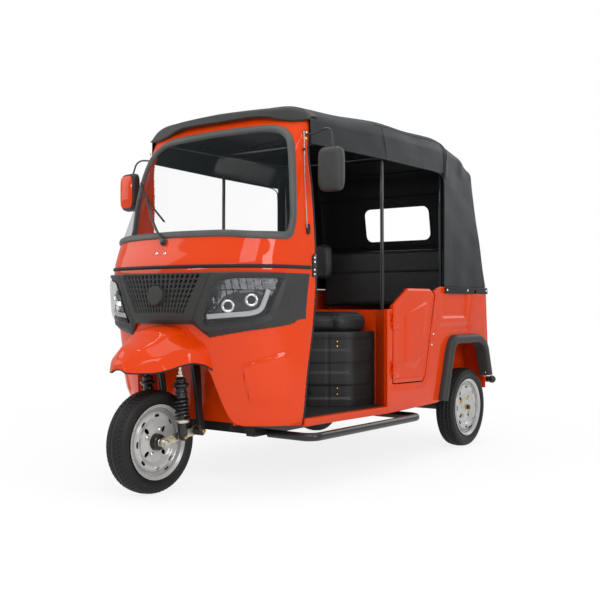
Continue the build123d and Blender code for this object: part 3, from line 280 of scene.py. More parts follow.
# ------------------------------------------------------------------ forms
# Marching squares. A cell's corners a, b, c, d count 1, 2, 4, 8 if they are kept. For each
# sum from 1 to 15: the rings of corners, and of cut edges named by their ends, round its part.
CELLS = (
    "a ab da", "b bc ab", "a b bc da", "c cd bc", "a ab da, c cd bc", "b c cd ab", "a b c cd da",
    "d da cd", "a ab cd d", "b bc ab, d da cd", "a b bc cd d", "c d da bc", "a ab bc c d",
    "b c d da ab", "a b c d",
)


@dataclass
class Form:
    """Points in millimetres and faces as index arrays, one array for each corner count."""

    points: Array
    faces: list[Array]

    def __add__(self, other: Form) -> Form:
        """Both forms as one."""
        moved = [f + len(self.points) for f in other.faces]
        return Form(np.concatenate([self.points, other.points]), self.faces + moved)

    def mirrored(self) -> Form:
        """Mirror image across x = 0, with its faces turned back outwards."""
        return Form(self.points * (-1, 1, 1), [f[:, ::-1] for f in self.faces])

    def both(self) -> Form:
        """The form with its mirror image."""
        return self + self.mirrored()

    def on(self, side: str) -> Form:
        """The form as it is for the left side, or mirrored for the right."""
        return self.mirrored() if side == "right" else self

    @staticmethod
    def joined(forms: Sequence[Form]) -> Form:
        """Several forms as one."""
        return functools.reduce(operator.add, forms)

    def turned_out(self) -> Form:
        """The form with every face reversed."""
        return Form(self.points, [f[:, ::-1] for f in self.faces])

    @staticmethod
    def grid(points: Array, wrap_u: bool = False, wrap_v: bool = False) -> Form:
        """Quads between neighbours of a grid of points.

        Args:
            points: The grid, shaped (n, m, 3).
            wrap_u: Whether its last row joins the first.
            wrap_v: Whether its last column joins the first.

        Returns:
            The form.
        """
        n, m = points.shape[:2]
        index = np.arange(n * m).reshape(n, m)
        if wrap_u:
            index = np.concatenate([index, index[:1]], 0)
        if wrap_v:
            index = np.concatenate([index, index[:, :1]], 1)
        quads = np.stack([index[:-1, :-1], index[1:, :-1], index[1:, 1:], index[:-1, 1:]], -1)
        return Form(points.reshape(-1, 3), [quads.reshape(-1, 4)])

    @staticmethod
    def clipped(points: Array, keep: Array) -> Form:
        """Part of a grid where keep is positive. Each cell is cut by marching squares: a
        new vertex lies where keep is 0 on an edge, found by linear interpolation.

        Args:
            points: Grid of points, shaped (n, m, 3).
            keep: Signed distance to the cut at each point.

        Returns:
            The cut form.
        """
        n, m = keep.shape
        keep = np.where(np.abs(keep) < 1e-6, 1e-6, keep)
        node = np.arange(n * m).reshape(n, m)
        flat = [points.reshape(-1, 3)]
        count = n * m
        along = []
        for axis in (0, 1):
            before, after = ((slice(None),) * axis + (cut,) for cut in (slice(-1), slice(1, None)))
            k0, k1, p0, p1 = keep[before], keep[after], points[before], points[after]
            hit = (k0 > 0) != (k1 > 0)
            t = (k0 / np.where(hit, k0 - k1, 1.0))[hit][:, None]
            number = np.full(hit.shape, -1)
            number[hit] = count + np.arange(hit.sum())
            count += int(hit.sum())
            flat.append(p0[hit] * (1 - t) + p1[hit] * t)
            along.append(number)
        spots = {
            "a": node[:-1, :-1], "b": node[1:, :-1], "c": node[1:, 1:], "d": node[:-1, 1:],
            "ab": along[0][:, :-1], "cd": along[0][:, 1:], "da": along[1][:-1], "bc": along[1][1:],
        }
        code = sum((keep.ravel()[spots[s]] > 0) * 2**k for k, s in enumerate("abcd"))
        faces = []
        for value, rings in enumerate(CELLS, 1):
            here = code == value
            if here.any():
                for ring in rings.split(", "):
                    faces.append(np.stack([spots[s][here] for s in ring.split()], -1))
        every = np.concatenate(flat)
        used = np.unique(np.concatenate([f.ravel() for f in faces]))
        fresh = np.zeros(len(every), int)
        fresh[used] = np.arange(len(used))
        return Form(every[used], [fresh[f] for f in faces])

    @staticmethod
    def along(
        path: Array,
        across: Array,
        up: Array,
        profile: Array,
        closed: bool = False,
        ring: bool = False,
    ) -> Form:
        """Profile (w, h) carried along a path: point = path + w * across + h * up.

        Args:
            path: Points of the path.
            across: Unit vector at each point for the profile's first number.
            up: Unit vector at each point for its second.
            profile: Points of the profile.
            closed: Whether the path closes.
            ring: Whether the profile closes.

        Returns:
            The swept form.
        """
        wide, high = profile[None, :, :1], profile[None, :, 1:]
        grid = path[:, None] + across[:, None] * wide + up[:, None] * high
        return Form.grid(grid, wrap_u=closed, wrap_v=ring)

    @staticmethod
    def strip(path: Array, up: Array, profile: Array) -> Form:
        """Closed profile carried along a line that lies on a surface: its first number runs
        along up x run, where run is the line's gradient at length 1, and its second along up."""
        return Form.along(path, np.cross(up, unit(np.gradient(path, axis=0))), up, profile, ring=True)

    @staticmethod
    def tube(line: Sequence, radius: float | Array, sides: int = 12) -> Form:
        """Round bar along a line: circles in the planes across it, whose first direction is
        carried along without twist. Its ends are flat caps.

        Args:
            line: Points of the middle line.
            radius: Radius, or one for each point.
            sides: Points on each circle.

        Returns:
            The bar.
        """
        path = np.asarray(line, float)
        step = np.roll(path, -1, 0) - np.roll(path, 1, 0)
        step[0], step[-1] = path[1] - path[0], path[-1] - path[-2]
        run = unit(step)
        side = across_of(run[0])
        sides_at = []
        for t in run:
            side = side - t * np.dot(side, t)
            side = side / np.linalg.norm(side)
            sides_at.append(side)
        across = np.array(sides_at)
        up = np.cross(run, across)
        turn = full_turn(sides)[None, :, None]
        r = np.broadcast_to(np.asarray(radius, float), (len(path),))[:, None, None]
        ring = across[:, None] * np.cos(turn) + up[:, None] * np.sin(turn)
        form = Form.grid((path[:, None] + ring * r), wrap_v=True).turned_out()
        first = np.arange(sides)
        last = first + (len(path) - 1) * sides
        form.faces += [first[None, :], last[None, ::-1]]
        return form

    @staticmethod
    def turned(
        profile: Sequence,
        centre: Sequence[float],
        axis: Sequence[float],
        sides: int = 32,
        closed: bool = False,
    ) -> Form:
        """Profile (r, h) turned about an axis: centre + h * axis + r * (cos a * e1 + sin a * e2).

        Args:
            profile: Radii and distances along the axis.
            centre: Point that the axis goes through.
            axis: Its direction.
            sides: Steps of the turn.
            closed: Whether the profile closes.

        Returns:
            The turned form.
        """
        p = np.asarray(profile, float)
        axis = unit(np.asarray(axis, float))
        e1 = unit(across_of(axis))
        e2 = np.cross(axis, e1)
        a = full_turn(sides)[:, None]
        spoke = e1 * np.cos(a) + e2 * np.sin(a)
        grid = np.asarray(centre, float) + spoke[:, None] * p[None, :, :1] + axis * p[None, :, 1:]
        return Form.grid(grid, wrap_u=True, wrap_v=closed)

    @staticmethod
    def plate(
        outline: Sequence, origin: Sequence, e1: Sequence, e2: Sequence, depth: float
    ) -> Form:
        """Flat outline with a straight wall behind it.

        Args:
            outline: Corners on the two axes.
            origin: Where both axes start.
            e1: First axis.
            e2: Second axis.
            depth: Length of the wall, against the axes' cross product.

        Returns:
            The closed plate.
        """
        o = np.asarray(outline, float)
        e1, e2 = np.asarray(e1, float), np.asarray(e2, float)
        out = np.cross(e1, e2)
        face = np.asarray(origin, float) + o[:, :1] * e1 + o[:, 1:] * e2
        n = len(o)
        points = np.concatenate([face, face - out * depth])
        front = np.arange(n)
        wall = np.stack([front, front + n, np.roll(front, -1) + n, np.roll(front, -1)], -1)
        return Form(points, [front[None], (front + n)[None, ::-1], wall])

    @staticmethod
    def side_plate(outline: Sequence, radius: float, x: float, depth: float, steps: int = 3) -> Form:
        """Plate in side view: outline (aft, z) with round corners, facing left at x."""
        line = fillet_line(outline, radius, steps, closed=True)
        return Form.plate(line, (x, 0, 0), *SIDE_VIEW, depth)

    @staticmethod
    def block(x0: float, x1: float, a0: float, a1: float, z0: float, z1: float) -> Form:
        """Upright block given by its limits."""
        outline = [(x0, z0), (x1, z0), (x1, z1), (x0, z1)]
        return Form.plate(outline, (0, a0, 0), (1, 0, 0), (0, 0, 1), a0 - a1)


# ------------------------------------------------------------------ shader nodes
class Wire:
    """A shader socket that Python's operators act on through Math nodes."""

    def __init__(self, board: Board, socket: bpy.types.NodeSocket) -> None:
        """Keep the board and the socket."""
        self.board, self.socket = board, socket

    def _with(self, operation: str, first: object, second: object) -> Wire:
        """One Math node on two values or wires."""
        return self.board.node("ShaderNodeMath", {"operation": operation}, {0: first, 1: second})

    def __add__(self, other: object) -> Wire:
        """self + other."""
        return self._with("ADD", self, other)

    __radd__ = __add__

    def __mul__(self, other: object) -> Wire:
        """self * other."""
        return self._with("MULTIPLY", self, other)

    __rmul__ = __mul__

    def __sub__(self, other: object) -> Wire:
        """self - other."""
        return self._with("SUBTRACT", self, other)

    def __rsub__(self, other: object) -> Wire:
        """other - self."""
        return self._with("SUBTRACT", other, self)

    def __pow__(self, other: object) -> Wire:
        """self to a power."""
        return self._with("POWER", self, other)

    def or_more(self, other: object) -> Wire:
        """The greater of self and other."""
        return self._with("MAXIMUM", self, other)

    def clamp(self) -> Wire:
        """self held between 0 and 1."""
        return self.board.node("ShaderNodeClamp", {}, {0: self})


class Board:
    """Node tree of a material or a world."""

    def __init__(self, holder: bpy.types.Material | bpy.types.World, ending: str) -> None:
        """Empty the holder's tree and give it its output node.

        Args:
            holder: The material or world.
            ending: Blender's type of its output node.
        """
        self.holder = holder
        holder.use_nodes = True
        self.tree = holder.node_tree
        self.tree.nodes.clear()
        self.output = self.tree.nodes.new(ending)

    @classmethod
    def material(cls, name: str) -> Board:
        """Board of a new material."""
        return cls(bpy.data.materials.new(name), "ShaderNodeOutputMaterial")

    def node(self, kind: str, settings: dict, inputs: dict, out: int | str = 0) -> Wire:
        """Add a node.

        Args:
            kind: Blender's node type.
            settings: Attributes to set first; "stops" fills a colour ramp.
            inputs: Values or wires by socket name or number.
            out: Output socket to return.

        Returns:
            The output as a wire.
        """
        made = self.tree.nodes.new(kind)
        for key, value in settings.items():
            if key == "stops":
                ramp = made.color_ramp
                while len(ramp.elements) < len(value):
                    ramp.elements.new(0.5)
                for element, (at, colour) in zip(ramp.elements, value):
                    element.position, element.color = at, (*colour, 1)
            else:
                setattr(made, key, value)
        for key, value in inputs.items():
            if isinstance(value, Wire):
                self.tree.links.new(value.socket, made.inputs[key])
            else:
                made.inputs[key].default_value = value
        return Wire(self, made.outputs[out])

    def place(self, scale: float | tuple = 1.0) -> Wire:
        """Object coordinates, scaled through a Mapping node."""
        raw = self.node("ShaderNodeTexCoord", {}, {}, "Object")
        size = (scale,) * 3 if isinstance(scale, (int, float)) else scale
        return self.node("ShaderNodeMapping", {}, {"Vector": raw, "Scale": size})

    def noise(self, scale: float | tuple, detail: float = 3.0, rough: float = 0.55) -> Wire:
        """Noise of 0 to 1 over the surface."""
        inputs = {"Vector": self.place(scale), "Scale": 1.0, "Detail": detail, "Roughness": rough}
        return self.node("ShaderNodeTexNoise", {}, inputs)

    def cells(self, scale: float) -> Wire:
        """Distance to the nearest cell's centre."""
        return self.node("ShaderNodeTexVoronoi", {}, {"Vector": self.place(scale), "Scale": 1.0})

    def ray(self, kind: str) -> Wire:
        """1 where the ray that sees the surface is of this kind."""
        return self.node("ShaderNodeLightPath", {}, {}, f"Is {kind} Ray")

    def blend(self, share: object, first: object, second: object) -> Wire:
        """Colour mix of two colours or wires."""
        four = [(*c, 1.0) if isinstance(c, tuple) and len(c) == 3 else c for c in (first, second)]
        inputs = {0: share, 6: four[0], 7: four[1]}
        return self.node("ShaderNodeMix", {"data_type": "RGBA"}, inputs, 2)

    def relief(
        self, height: Wire, strength: float, distance: float, under: Wire | None = None
    ) -> Wire:
        """Normal bent by a height.

        Args:
            height: The height.
            strength: Strength of the Bump node.
            distance: Its distance, in metres.
            under: Another bent normal that it lies over.

        Returns:
            The normal.
        """
        inputs = {"Height": height, "Strength": strength, "Distance": distance}
        if under is not None:
            inputs["Normal"] = under
        return self.node("ShaderNodeBump", {}, inputs)

    def shade(self, **inputs: object) -> Wire:
        """Principled shader.

        Args:
            **inputs: Values or wires by socket name, with underscores for its spaces.

        Returns:
            The shader.
        """
        named = {k.replace("_", " "): v for k, v in inputs.items()}
        for key, value in named.items():
            if isinstance(value, tuple) and len(value) == 3:
                named[key] = (*value, 1.0)
        return self.node("ShaderNodeBsdfPrincipled", {}, named)

    def close(self, shader: Wire) -> bpy.types.Material | bpy.types.World:
        """Join the shader to the output and return the holder."""
        self.tree.links.new(shader.socket, self.output.inputs[0])
        return self.holder


Colour = tuple[float, float, float]


@dataclass(frozen=True)
class Finish:
    """A named finish. Each kind draws its own shader."""

    name: str
    colour: Colour

    def build(self) -> bpy.types.Material:
        """Make the material."""
        b = Board.material(self.name)
        return b.close(self.shader(b))


@dataclass(frozen=True)
class TwoTone(Finish):
    """Two colours that drift into each other, and a roughness that wanders."""

    shade: Colour
    roughness: float = 0.5

    def two_tone(self, b: Board, wave: Wire, gain: float, low: float = 0.3) -> Wire:
        """Mix of the two colours, by the share (wave - low) * gain."""
        return b.blend((wave - low) * gain, self.shade, self.colour)

    def rough(self, wave: Wire, spread: float) -> Wire:
        """Roughness spread about its middle by a wave of 0 to 1."""
        return self.roughness + spread * (wave - 0.5)


@dataclass(frozen=True)
class Enamel(TwoTone):
    """Sprayed paint under a clear coat, with orange peel and a faint film of dust."""

    roughness: float = 0.3
    coat: float = 1.0
    peel: float = 0.05
    sheen: float = 0.25

    def shader(self, b: Board) -> Wire:
        """Draw the finish.

        Args:
            b: Board to draw on.

        Returns:
            The shader.
        """
        drift, fine, dust = b.noise(1.7, 2.0), b.noise(260.0, 2.0), b.noise(23.0, 5.0, 0.7)
        return b.shade(
            Base_Color=self.two_tone(b, drift, 1.4, 0.35),
            Roughness=self.rough(dust, 0.16),
            Coat_Weight=self.coat,
            Coat_Roughness=0.05,
            Coat_IOR=1.5,
            Specular_IOR_Level=self.sheen,
            Normal=b.relief(fine, self.peel, 0.001),
        )


@dataclass(frozen=True)
class Moulded(TwoTone):
    """Moulded plastic or rubber with a pebbled grain and slightly polished patches."""

    roughness: float = 0.55
    grain: float = 620.0
    depth: float = 0.25

    def shader(self, b: Board) -> Wire:
        """Draw the finish.

        Args:
            b: Board to draw on.

        Returns:
            The shader.
        """
        drift, pebble, fine = b.noise(6.0, 4.0), b.cells(self.grain), b.noise(self.grain * 2.3, 2.0)
        return b.shade(
            Base_Color=self.two_tone(b, drift, 1.3),
            Roughness=self.rough(drift, 0.22),
            Specular_IOR_Level=0.3,
            Normal=b.relief(pebble * 0.7 + fine * 0.4, self.depth, 0.0008),
        )


@dataclass(frozen=True)
class Metal(TwoTone):
    """Bare or plated metal with streaks and uneven brightness."""

    roughness: float = 0.25
    streak: float = 90.0

    def shader(self, b: Board) -> Wire:
        """Draw the finish.

        Args:
            b: Board to draw on.

        Returns:
            The shader.
        """
        cloud = b.noise(38.0, 4.0)
        lines = b.noise((self.streak * 6, self.streak, self.streak * 6), 2.0)
        return b.shade(
            Base_Color=self.two_tone(b, cloud, 1.5),
            Roughness=self.rough(lines, 0.2),
            Metallic=1.0,
            Normal=b.relief(lines, 0.06, 0.0005),
        )


@dataclass(frozen=True)
class CoatedCloth(TwoTone):
    """Woven cloth under a soft coating: fine crossed threads, shallow puckers, uneven sheen."""

    thread: float = 900.0

    def shader(self, b: Board) -> Wire:
        """Draw the finish.

        Args:
            b: Board to draw on.

        Returns:
            The shader.
        """
        drift, pucker = b.noise(3.2, 4.0), b.noise((9.0, 5.0, 9.0), 3.0)
        threads = [
            b.node(
                "ShaderNodeTexWave",
                {"wave_type": "BANDS", "bands_direction": way},
                {"Vector": b.place(self.thread), "Scale": 0.32, "Distortion": 0.6},
                1,
            )
            for way in ("X", "Y", "Z")
        ]
        weave = (threads[0] + threads[1] + threads[2]) * 0.33
        return b.shade(
            Base_Color=self.two_tone(b, drift, 1.6),
            Roughness=self.rough(drift, 0.18),
            Specular_IOR_Level=0.22,
            Normal=b.relief(weave, 0.12, 0.0006, b.relief(pucker, 0.35, 0.012)),
        )


@dataclass(frozen=True)
class SeatHide(TwoTone):
    """Seat vinyl with a cell grain and worn lighter patches."""

    roughness: float = 0.42

    def shader(self, b: Board) -> Wire:
        """Draw the finish.

        Args:
            b: Board to draw on.

        Returns:
            The shader.
        """
        drift, grain = b.noise(7.0, 4.0), b.cells(420.0)
        crease = b.noise((14.0, 22.0, 14.0), 5.0, 0.62)
        return b.shade(
            Base_Color=self.two_tone(b, drift, 1.6),
            Roughness=self.rough(drift, 0.2),
            Specular_IOR_Level=0.3,
            Normal=b.relief(grain, 0.2, 0.0008, b.relief(crease, 0.4, 0.006)),
        )


@dataclass(frozen=True)
class Clear(Finish):
    """Clear glass or plastic: hardly there when faced, and mirror-like at a low angle."""

    face: float = 0.1
    edge: float = 0.75

    def shader(self, b: Board) -> Wire:
        """Draw the finish.

        Args:
            b: Board to draw on.

        Returns:
            The shader.
        """
        facing = b.node("ShaderNodeLayerWeight", {}, {"Blend": 0.18}, "Fresnel")
        smear = b.noise(5.0, 4.0)
        alpha = (self.face + (self.edge - self.face) * facing + 0.02 * (smear - 0.5)).clamp()
        inputs = {"Base_Color": self.colour, "Roughness": 0.04, "Specular_IOR_Level": 0.5}
        return b.shade(Alpha=alpha, **inputs)


@dataclass(frozen=True)
class PaintedGlow(Finish):
    """Milky light guide with a painted glow: a faint emission that lightens it."""

    strength: float = 0.35

    def shader(self, b: Board) -> Wire:
        """Draw the finish.

        Args:
            b: Board to draw on.

        Returns:
            The shader.
        """
        darker = tuple(0.8 * c for c in self.colour)
        # The emission is painted light: a faint glow that brightens the part.
        return b.shade(
            Base_Color=b.blend(b.noise(90.0, 3.0), self.colour, darker),
            Roughness=0.3,
            Emission_Color=(*self.colour, 1.0),
            Emission_Strength=self.strength,
        )


class Look(Enum):
    """The finishes of this vehicle."""

    ORANGE = Enamel("orange_enamel", (0.70, 0.052, 0.000), (0.63, 0.040, 0.000), 0.6, 0.60, 0.05, 0.04)
    BLACK_PAINT = Enamel("black_enamel", (0.014, 0.014, 0.015), (0.008, 0.008, 0.009), 0.35, 0.5)
    WHEEL_SILVER = Enamel("wheel_silver", (0.50, 0.50, 0.49), (0.38, 0.38, 0.38), 0.26, 1.0, 0.05, 0.6)
    GREY_PLASTIC = Moulded("grey_moulding", (0.036, 0.037, 0.035), (0.026, 0.027, 0.026), 0.5)
    SEAT_PLASTIC = Moulded("seat_box_moulding", (0.022, 0.023, 0.023), (0.015, 0.016, 0.016), 0.42)
    RUBBER = Moulded("black_rubber", (0.016, 0.016, 0.017), (0.010, 0.010, 0.011), 0.6, 900.0, 0.15)
    SEAL = Moulded("screen_rubber", (0.095, 0.098, 0.096), (0.060, 0.062, 0.061), 0.42, 900.0, 0.1)
    TYRE = Moulded("tyre_rubber", (0.012, 0.012, 0.012), (0.006, 0.006, 0.006), 0.5, 380.0, 0.2)
    MAT = Moulded("floor_mat", (0.020, 0.020, 0.020), (0.012, 0.012, 0.012), 0.7, 300.0, 0.15)
    CHROME = Metal("bright_plating", (0.86, 0.87, 0.88), (0.70, 0.71, 0.73), 0.12)
    REFLECTOR = Metal("lamp_reflector", (0.46, 0.47, 0.49), (0.16, 0.16, 0.18), 0.2, 14.0)
    ZINC = Metal("zinc_plating", (0.72, 0.72, 0.66), (0.55, 0.53, 0.42), 0.34)
    GOLD = Metal("yellow_plating", (0.82, 0.60, 0.24), (0.62, 0.42, 0.14), 0.26)
    DARK_METAL = Metal("dark_metal", (0.06, 0.06, 0.065), (0.03, 0.03, 0.035), 0.3)
    CANOPY = CoatedCloth("canopy_cloth", (0.022, 0.026, 0.028), (0.015, 0.018, 0.020), 0.5)
    LINING = CoatedCloth("canopy_lining", (0.010, 0.011, 0.012), (0.006, 0.006, 0.007), 0.6)
    HIDE = SeatHide("seat_vinyl_hide", (0.024, 0.025, 0.027), (0.012, 0.013, 0.014))
    GLASS = Clear("screen_glass", (0.10, 0.13, 0.14), 0.05, 0.45)
    LENS = Clear("lamp_lens", (0.40, 0.42, 0.43), 0.07, 0.5)
    # The light bar's emission is a painted glow that lightens it.
    LIGHT_BAR = PaintedGlow("light_bar", (0.36, 0.37, 0.38), 0.12)
    RED_LENS = Enamel("red_lens", (0.42, 0.006, 0.004), (0.26, 0.004, 0.003), 0.2, 0.6, 0.3, 0.2)
    AMBER_LENS = Enamel("amber_lens", (0.85, 0.26, 0.01), (0.6, 0.16, 0.01), 0.2, 1.0, 0.3, 0.5)
    CLEAR_LENS = Enamel("reversing_lens", (0.62, 0.64, 0.65), (0.5, 0.52, 0.53), 0.15, 1.0, 0.2, 0.5)
    MIRROR = Metal("mirror_glass", (0.90, 0.91, 0.92), (0.86, 0.87, 0.88), 0.1, 4.0)

    def material(self) -> bpy.types.Material:
        """The material, made once."""
        found = bpy.data.materials.get(self.value.name)
        return found if found else self.value.build()


# ------------------------------------------------------------------ pieces
# Angle in degrees past which an edge is bevelled; lengths under which points merge.
BEVEL_ANGLE = 40.0
SLIVER = 0.01
WELD = 0.05


def dress(name: str, look: Look) -> None:
    """Give a CAD node its finish.

    Args:
        name: The node.
        look: Its finish.
    """
    mesh = frame["nodes"][name].data
    mesh.materials.clear()
    mesh.materials.append(look.material())
    LOG.info("dressed %s with %s", name, look.value.name)


def settle(obj: bpy.types.Object, sharp: float) -> None:
    """Apply the modifiers and mark sharp edges.

    Args:
        obj: Object to settle.
        sharp: Angle in degrees past which an edge is sharp.
    """
    graph = bpy.context.evaluated_depsgraph_get()
    mesh = bpy.data.meshes.new_from_object(obj.evaluated_get(graph))
    obj.modifiers.clear()
    old = obj.data
    obj.data = mesh
    bpy.data.meshes.remove(old)
    mesh.shade_smooth()
    mesh.set_sharp_from_angle(angle=math.radians(sharp))


def piece(
    name: str,
    form: Form,
    look: Look,
    body: str = "root",
    replaces: Iterable[str] = (),
    slot: str = "",
    wall: float = 0.0,
    bevel: float = 0.0,
    sharp: float = 35.0,
    closed: bool = False,
) -> bpy.types.Object:
    """Make a finished object from a form.

    Args:
        name: Piece name.
        form: Its shape.
        look: Its finish.
        body: CAD body that it rides on.
        replaces: CAD nodes that it stands for.
        slot: Record slot of its finish; not used.
        wall: Thickness behind an open surface.
        bevel: Width of rounded edges.
        sharp: Angle in degrees past which an edge stays sharp.
        closed: Whether to turn the faces outwards as a closed form.

    Returns:
        The object.
    """
    mesh = bpy.data.meshes.new(name)
    at = model(form.points).astype(np.float32)
    mesh.vertices.add(len(at))
    mesh.vertices.foreach_set("co", at.ravel())
    corners = np.concatenate([f.ravel() for f in form.faces]).astype(np.int32)
    sizes = np.concatenate([np.full(len(f), f.shape[1]) for f in form.faces])
    starts = np.concatenate(([0], np.cumsum(sizes)[:-1])).astype(np.int32)
    mesh.loops.add(len(corners))
    mesh.loops.foreach_set("vertex_index", corners)
    mesh.polygons.add(len(sizes))
    mesh.polygons.foreach_set("loop_start", starts)
    mesh.update(calc_edges=True)
    mesh.validate()
    work = bmesh.new()
    work.from_mesh(mesh)
    bmesh.ops.remove_doubles(work, verts=work.verts, dist=WELD * MM)
    bmesh.ops.dissolve_degenerate(work, edges=work.edges, dist=SLIVER * MM)
    if closed:
        bmesh.ops.recalc_face_normals(work, faces=work.faces)
    work.to_mesh(mesh)
    work.free()
    obj = bpy.data.objects.new(name, mesh)
    bpy.context.scene.collection.objects.link(obj)
    mesh.materials.append(look.material())
    if wall:
        shell = obj.modifiers.new("wall", "SOLIDIFY")
        shell.thickness, shell.offset, shell.use_even_offset = wall * MM, -1.0, True
        shell.thickness_clamp = 0.0
    if bevel:
        edge = obj.modifiers.new("edge", "BEVEL")
        edge.width, edge.segments, edge.limit_method = bevel * MM, 3, "ANGLE"
        edge.angle_limit = math.radians(BEVEL_ANGLE)
    settle(obj, sharp)
    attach(obj, body)
    if replaces:
        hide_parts(*replaces)
    LOG.info("made %s: %d faces", name, len(obj.data.polygons))
    return obj


def bolt_heads(spots: Sequence, axis: Sequence, radius: float, height: float) -> Form:
    """Domed heads on a face: quarter-round profile turned about the axis at each spot.

    Args:
        spots: Middles of the heads.
        axis: Direction that they face.
        radius: Radius of each.
        height: Height of each dome.

    Returns:
        All the heads.
    """
    t = np.linspace(0, math.pi / 2, 5)
    profile = np.stack([radius * np.cos(t), height * np.sin(t)], 1)
    profile = np.concatenate([[(radius, -1.0)], profile])
    return Form.joined([Form.turned(profile, spot, axis, 12) for spot in spots])


# ------------------------------------------------------------------ cab
@dataclass
class CabSurface:
    """Moulded cab skin. At each height its plan is a wide brow arc, two corner arcs and two
    straight sides that splay outwards to the rear, read from a table by a cubic."""

    rows: Sequence[tuple]
    longest: float = 900.0
    halvings: int = 28

    def numbers(self, z: Array) -> list[Array]:
        """Nose, brow radius, corner radius, half width, rear and splay at each height."""
        table = np.asarray(self.rows, float)
        return [monotone(z, table[:, 0], table[:, k]) for k in range(1, 7)]

    def point(self, s: Array, z: Array, out: Array | float = 0.0) -> Array:
        """Point a length s round the plan from the centre line, at height z, moved outwards.

        The plan angle is s / brow radius on the brow, then grows by length / corner radius
        round the corner until the side's direction; the rest of s runs straight along it.

        Args:
            s: Length round the plan, positive on the vehicle's left.
            z: Height.
            out: Distance outwards along the plan's normal.

        Returns:
            Points (x, aft, z).
        """
        s, z = np.broadcast_arrays(np.asarray(s, float), np.asarray(z, float))
        nose, brow, corner, half, rear, splay = self.numbers(z)
        splay = np.radians(splay)
        base_x, base_a = half - corner * np.cos(splay), rear + corner * np.sin(splay)
        brow_a = nose + brow
        back = -(base_x * np.sin(splay) + (base_a - brow_a) * np.cos(splay))
        gap = base_x**2 + (base_a - brow_a) ** 2 - (brow - corner) ** 2
        step = -back + np.sqrt(back**2 - gap)
        cx, ca = base_x - step * np.sin(splay), base_a - step * np.cos(splay)
        turn = np.arctan2(cx, brow_a - ca)
        on_brow = brow * turn
        on_corner = corner * (math.pi / 2 - splay - turn)
        m = np.abs(s)
        first = m < on_brow
        angle = np.where(
            first, m / brow, np.minimum(turn + (m - on_brow) / corner, math.pi / 2 - splay)
        )
        run = np.maximum(m - on_brow - on_corner, 0.0)
        x = np.where(first, brow * np.sin(angle), cx + corner * np.sin(angle))
        a = np.where(first, brow_a - brow * np.cos(angle), ca - corner * np.cos(angle))
        x = x + run * np.sin(splay) + out * np.sin(angle)
        a = a + run * np.cos(splay) - out * np.cos(angle)
        return np.stack([x * np.sign(np.where(s == 0, 1, s)), a, z], -1)

    def reach(self, x: Array, z: Array) -> Array:
        """Length at which the skin has this x, found by halving.

        Args:
            x: Where to look, to either side.
            z: Heights.

        Returns:
            Lengths s round the plan.
        """
        low, high = np.zeros(np.shape(x)), np.full(np.shape(x), self.longest)
        for _ in range(self.halvings):
            mid = (low + high) / 2
            far = self.point(mid, z)[..., 0] > np.abs(x)
            low, high = np.where(far, low, mid), np.where(far, mid, high)
        return np.sign(x) * (low + high) / 2

    def out_at(self, s: Array, z: Array) -> Array:
        """Unit normals of the skin, from differences of nearby points."""
        ds = self.point(s + 1.0, z) - self.point(s - 1.0, z)
        dz = self.point(s, z + 1.0) - self.point(s, z - 1.0)
        return unit(np.cross(ds, dz))

    def lift(self, s: Array, z: Array, out: Array | float) -> Array:
        """Points of the skin moved out along its own normals."""
        return self.point(s, z) + self.out_at(s, z) * np.asarray(out, float)[..., None]

    def at(self, x: float, z: float, out: float = 0.0) -> Array:
        """Point of the skin at an x and a height, moved out."""
        x, z, out = (np.array(value, float) for value in (x, z, out))
        return self.lift(self.reach(x, z), z, out)


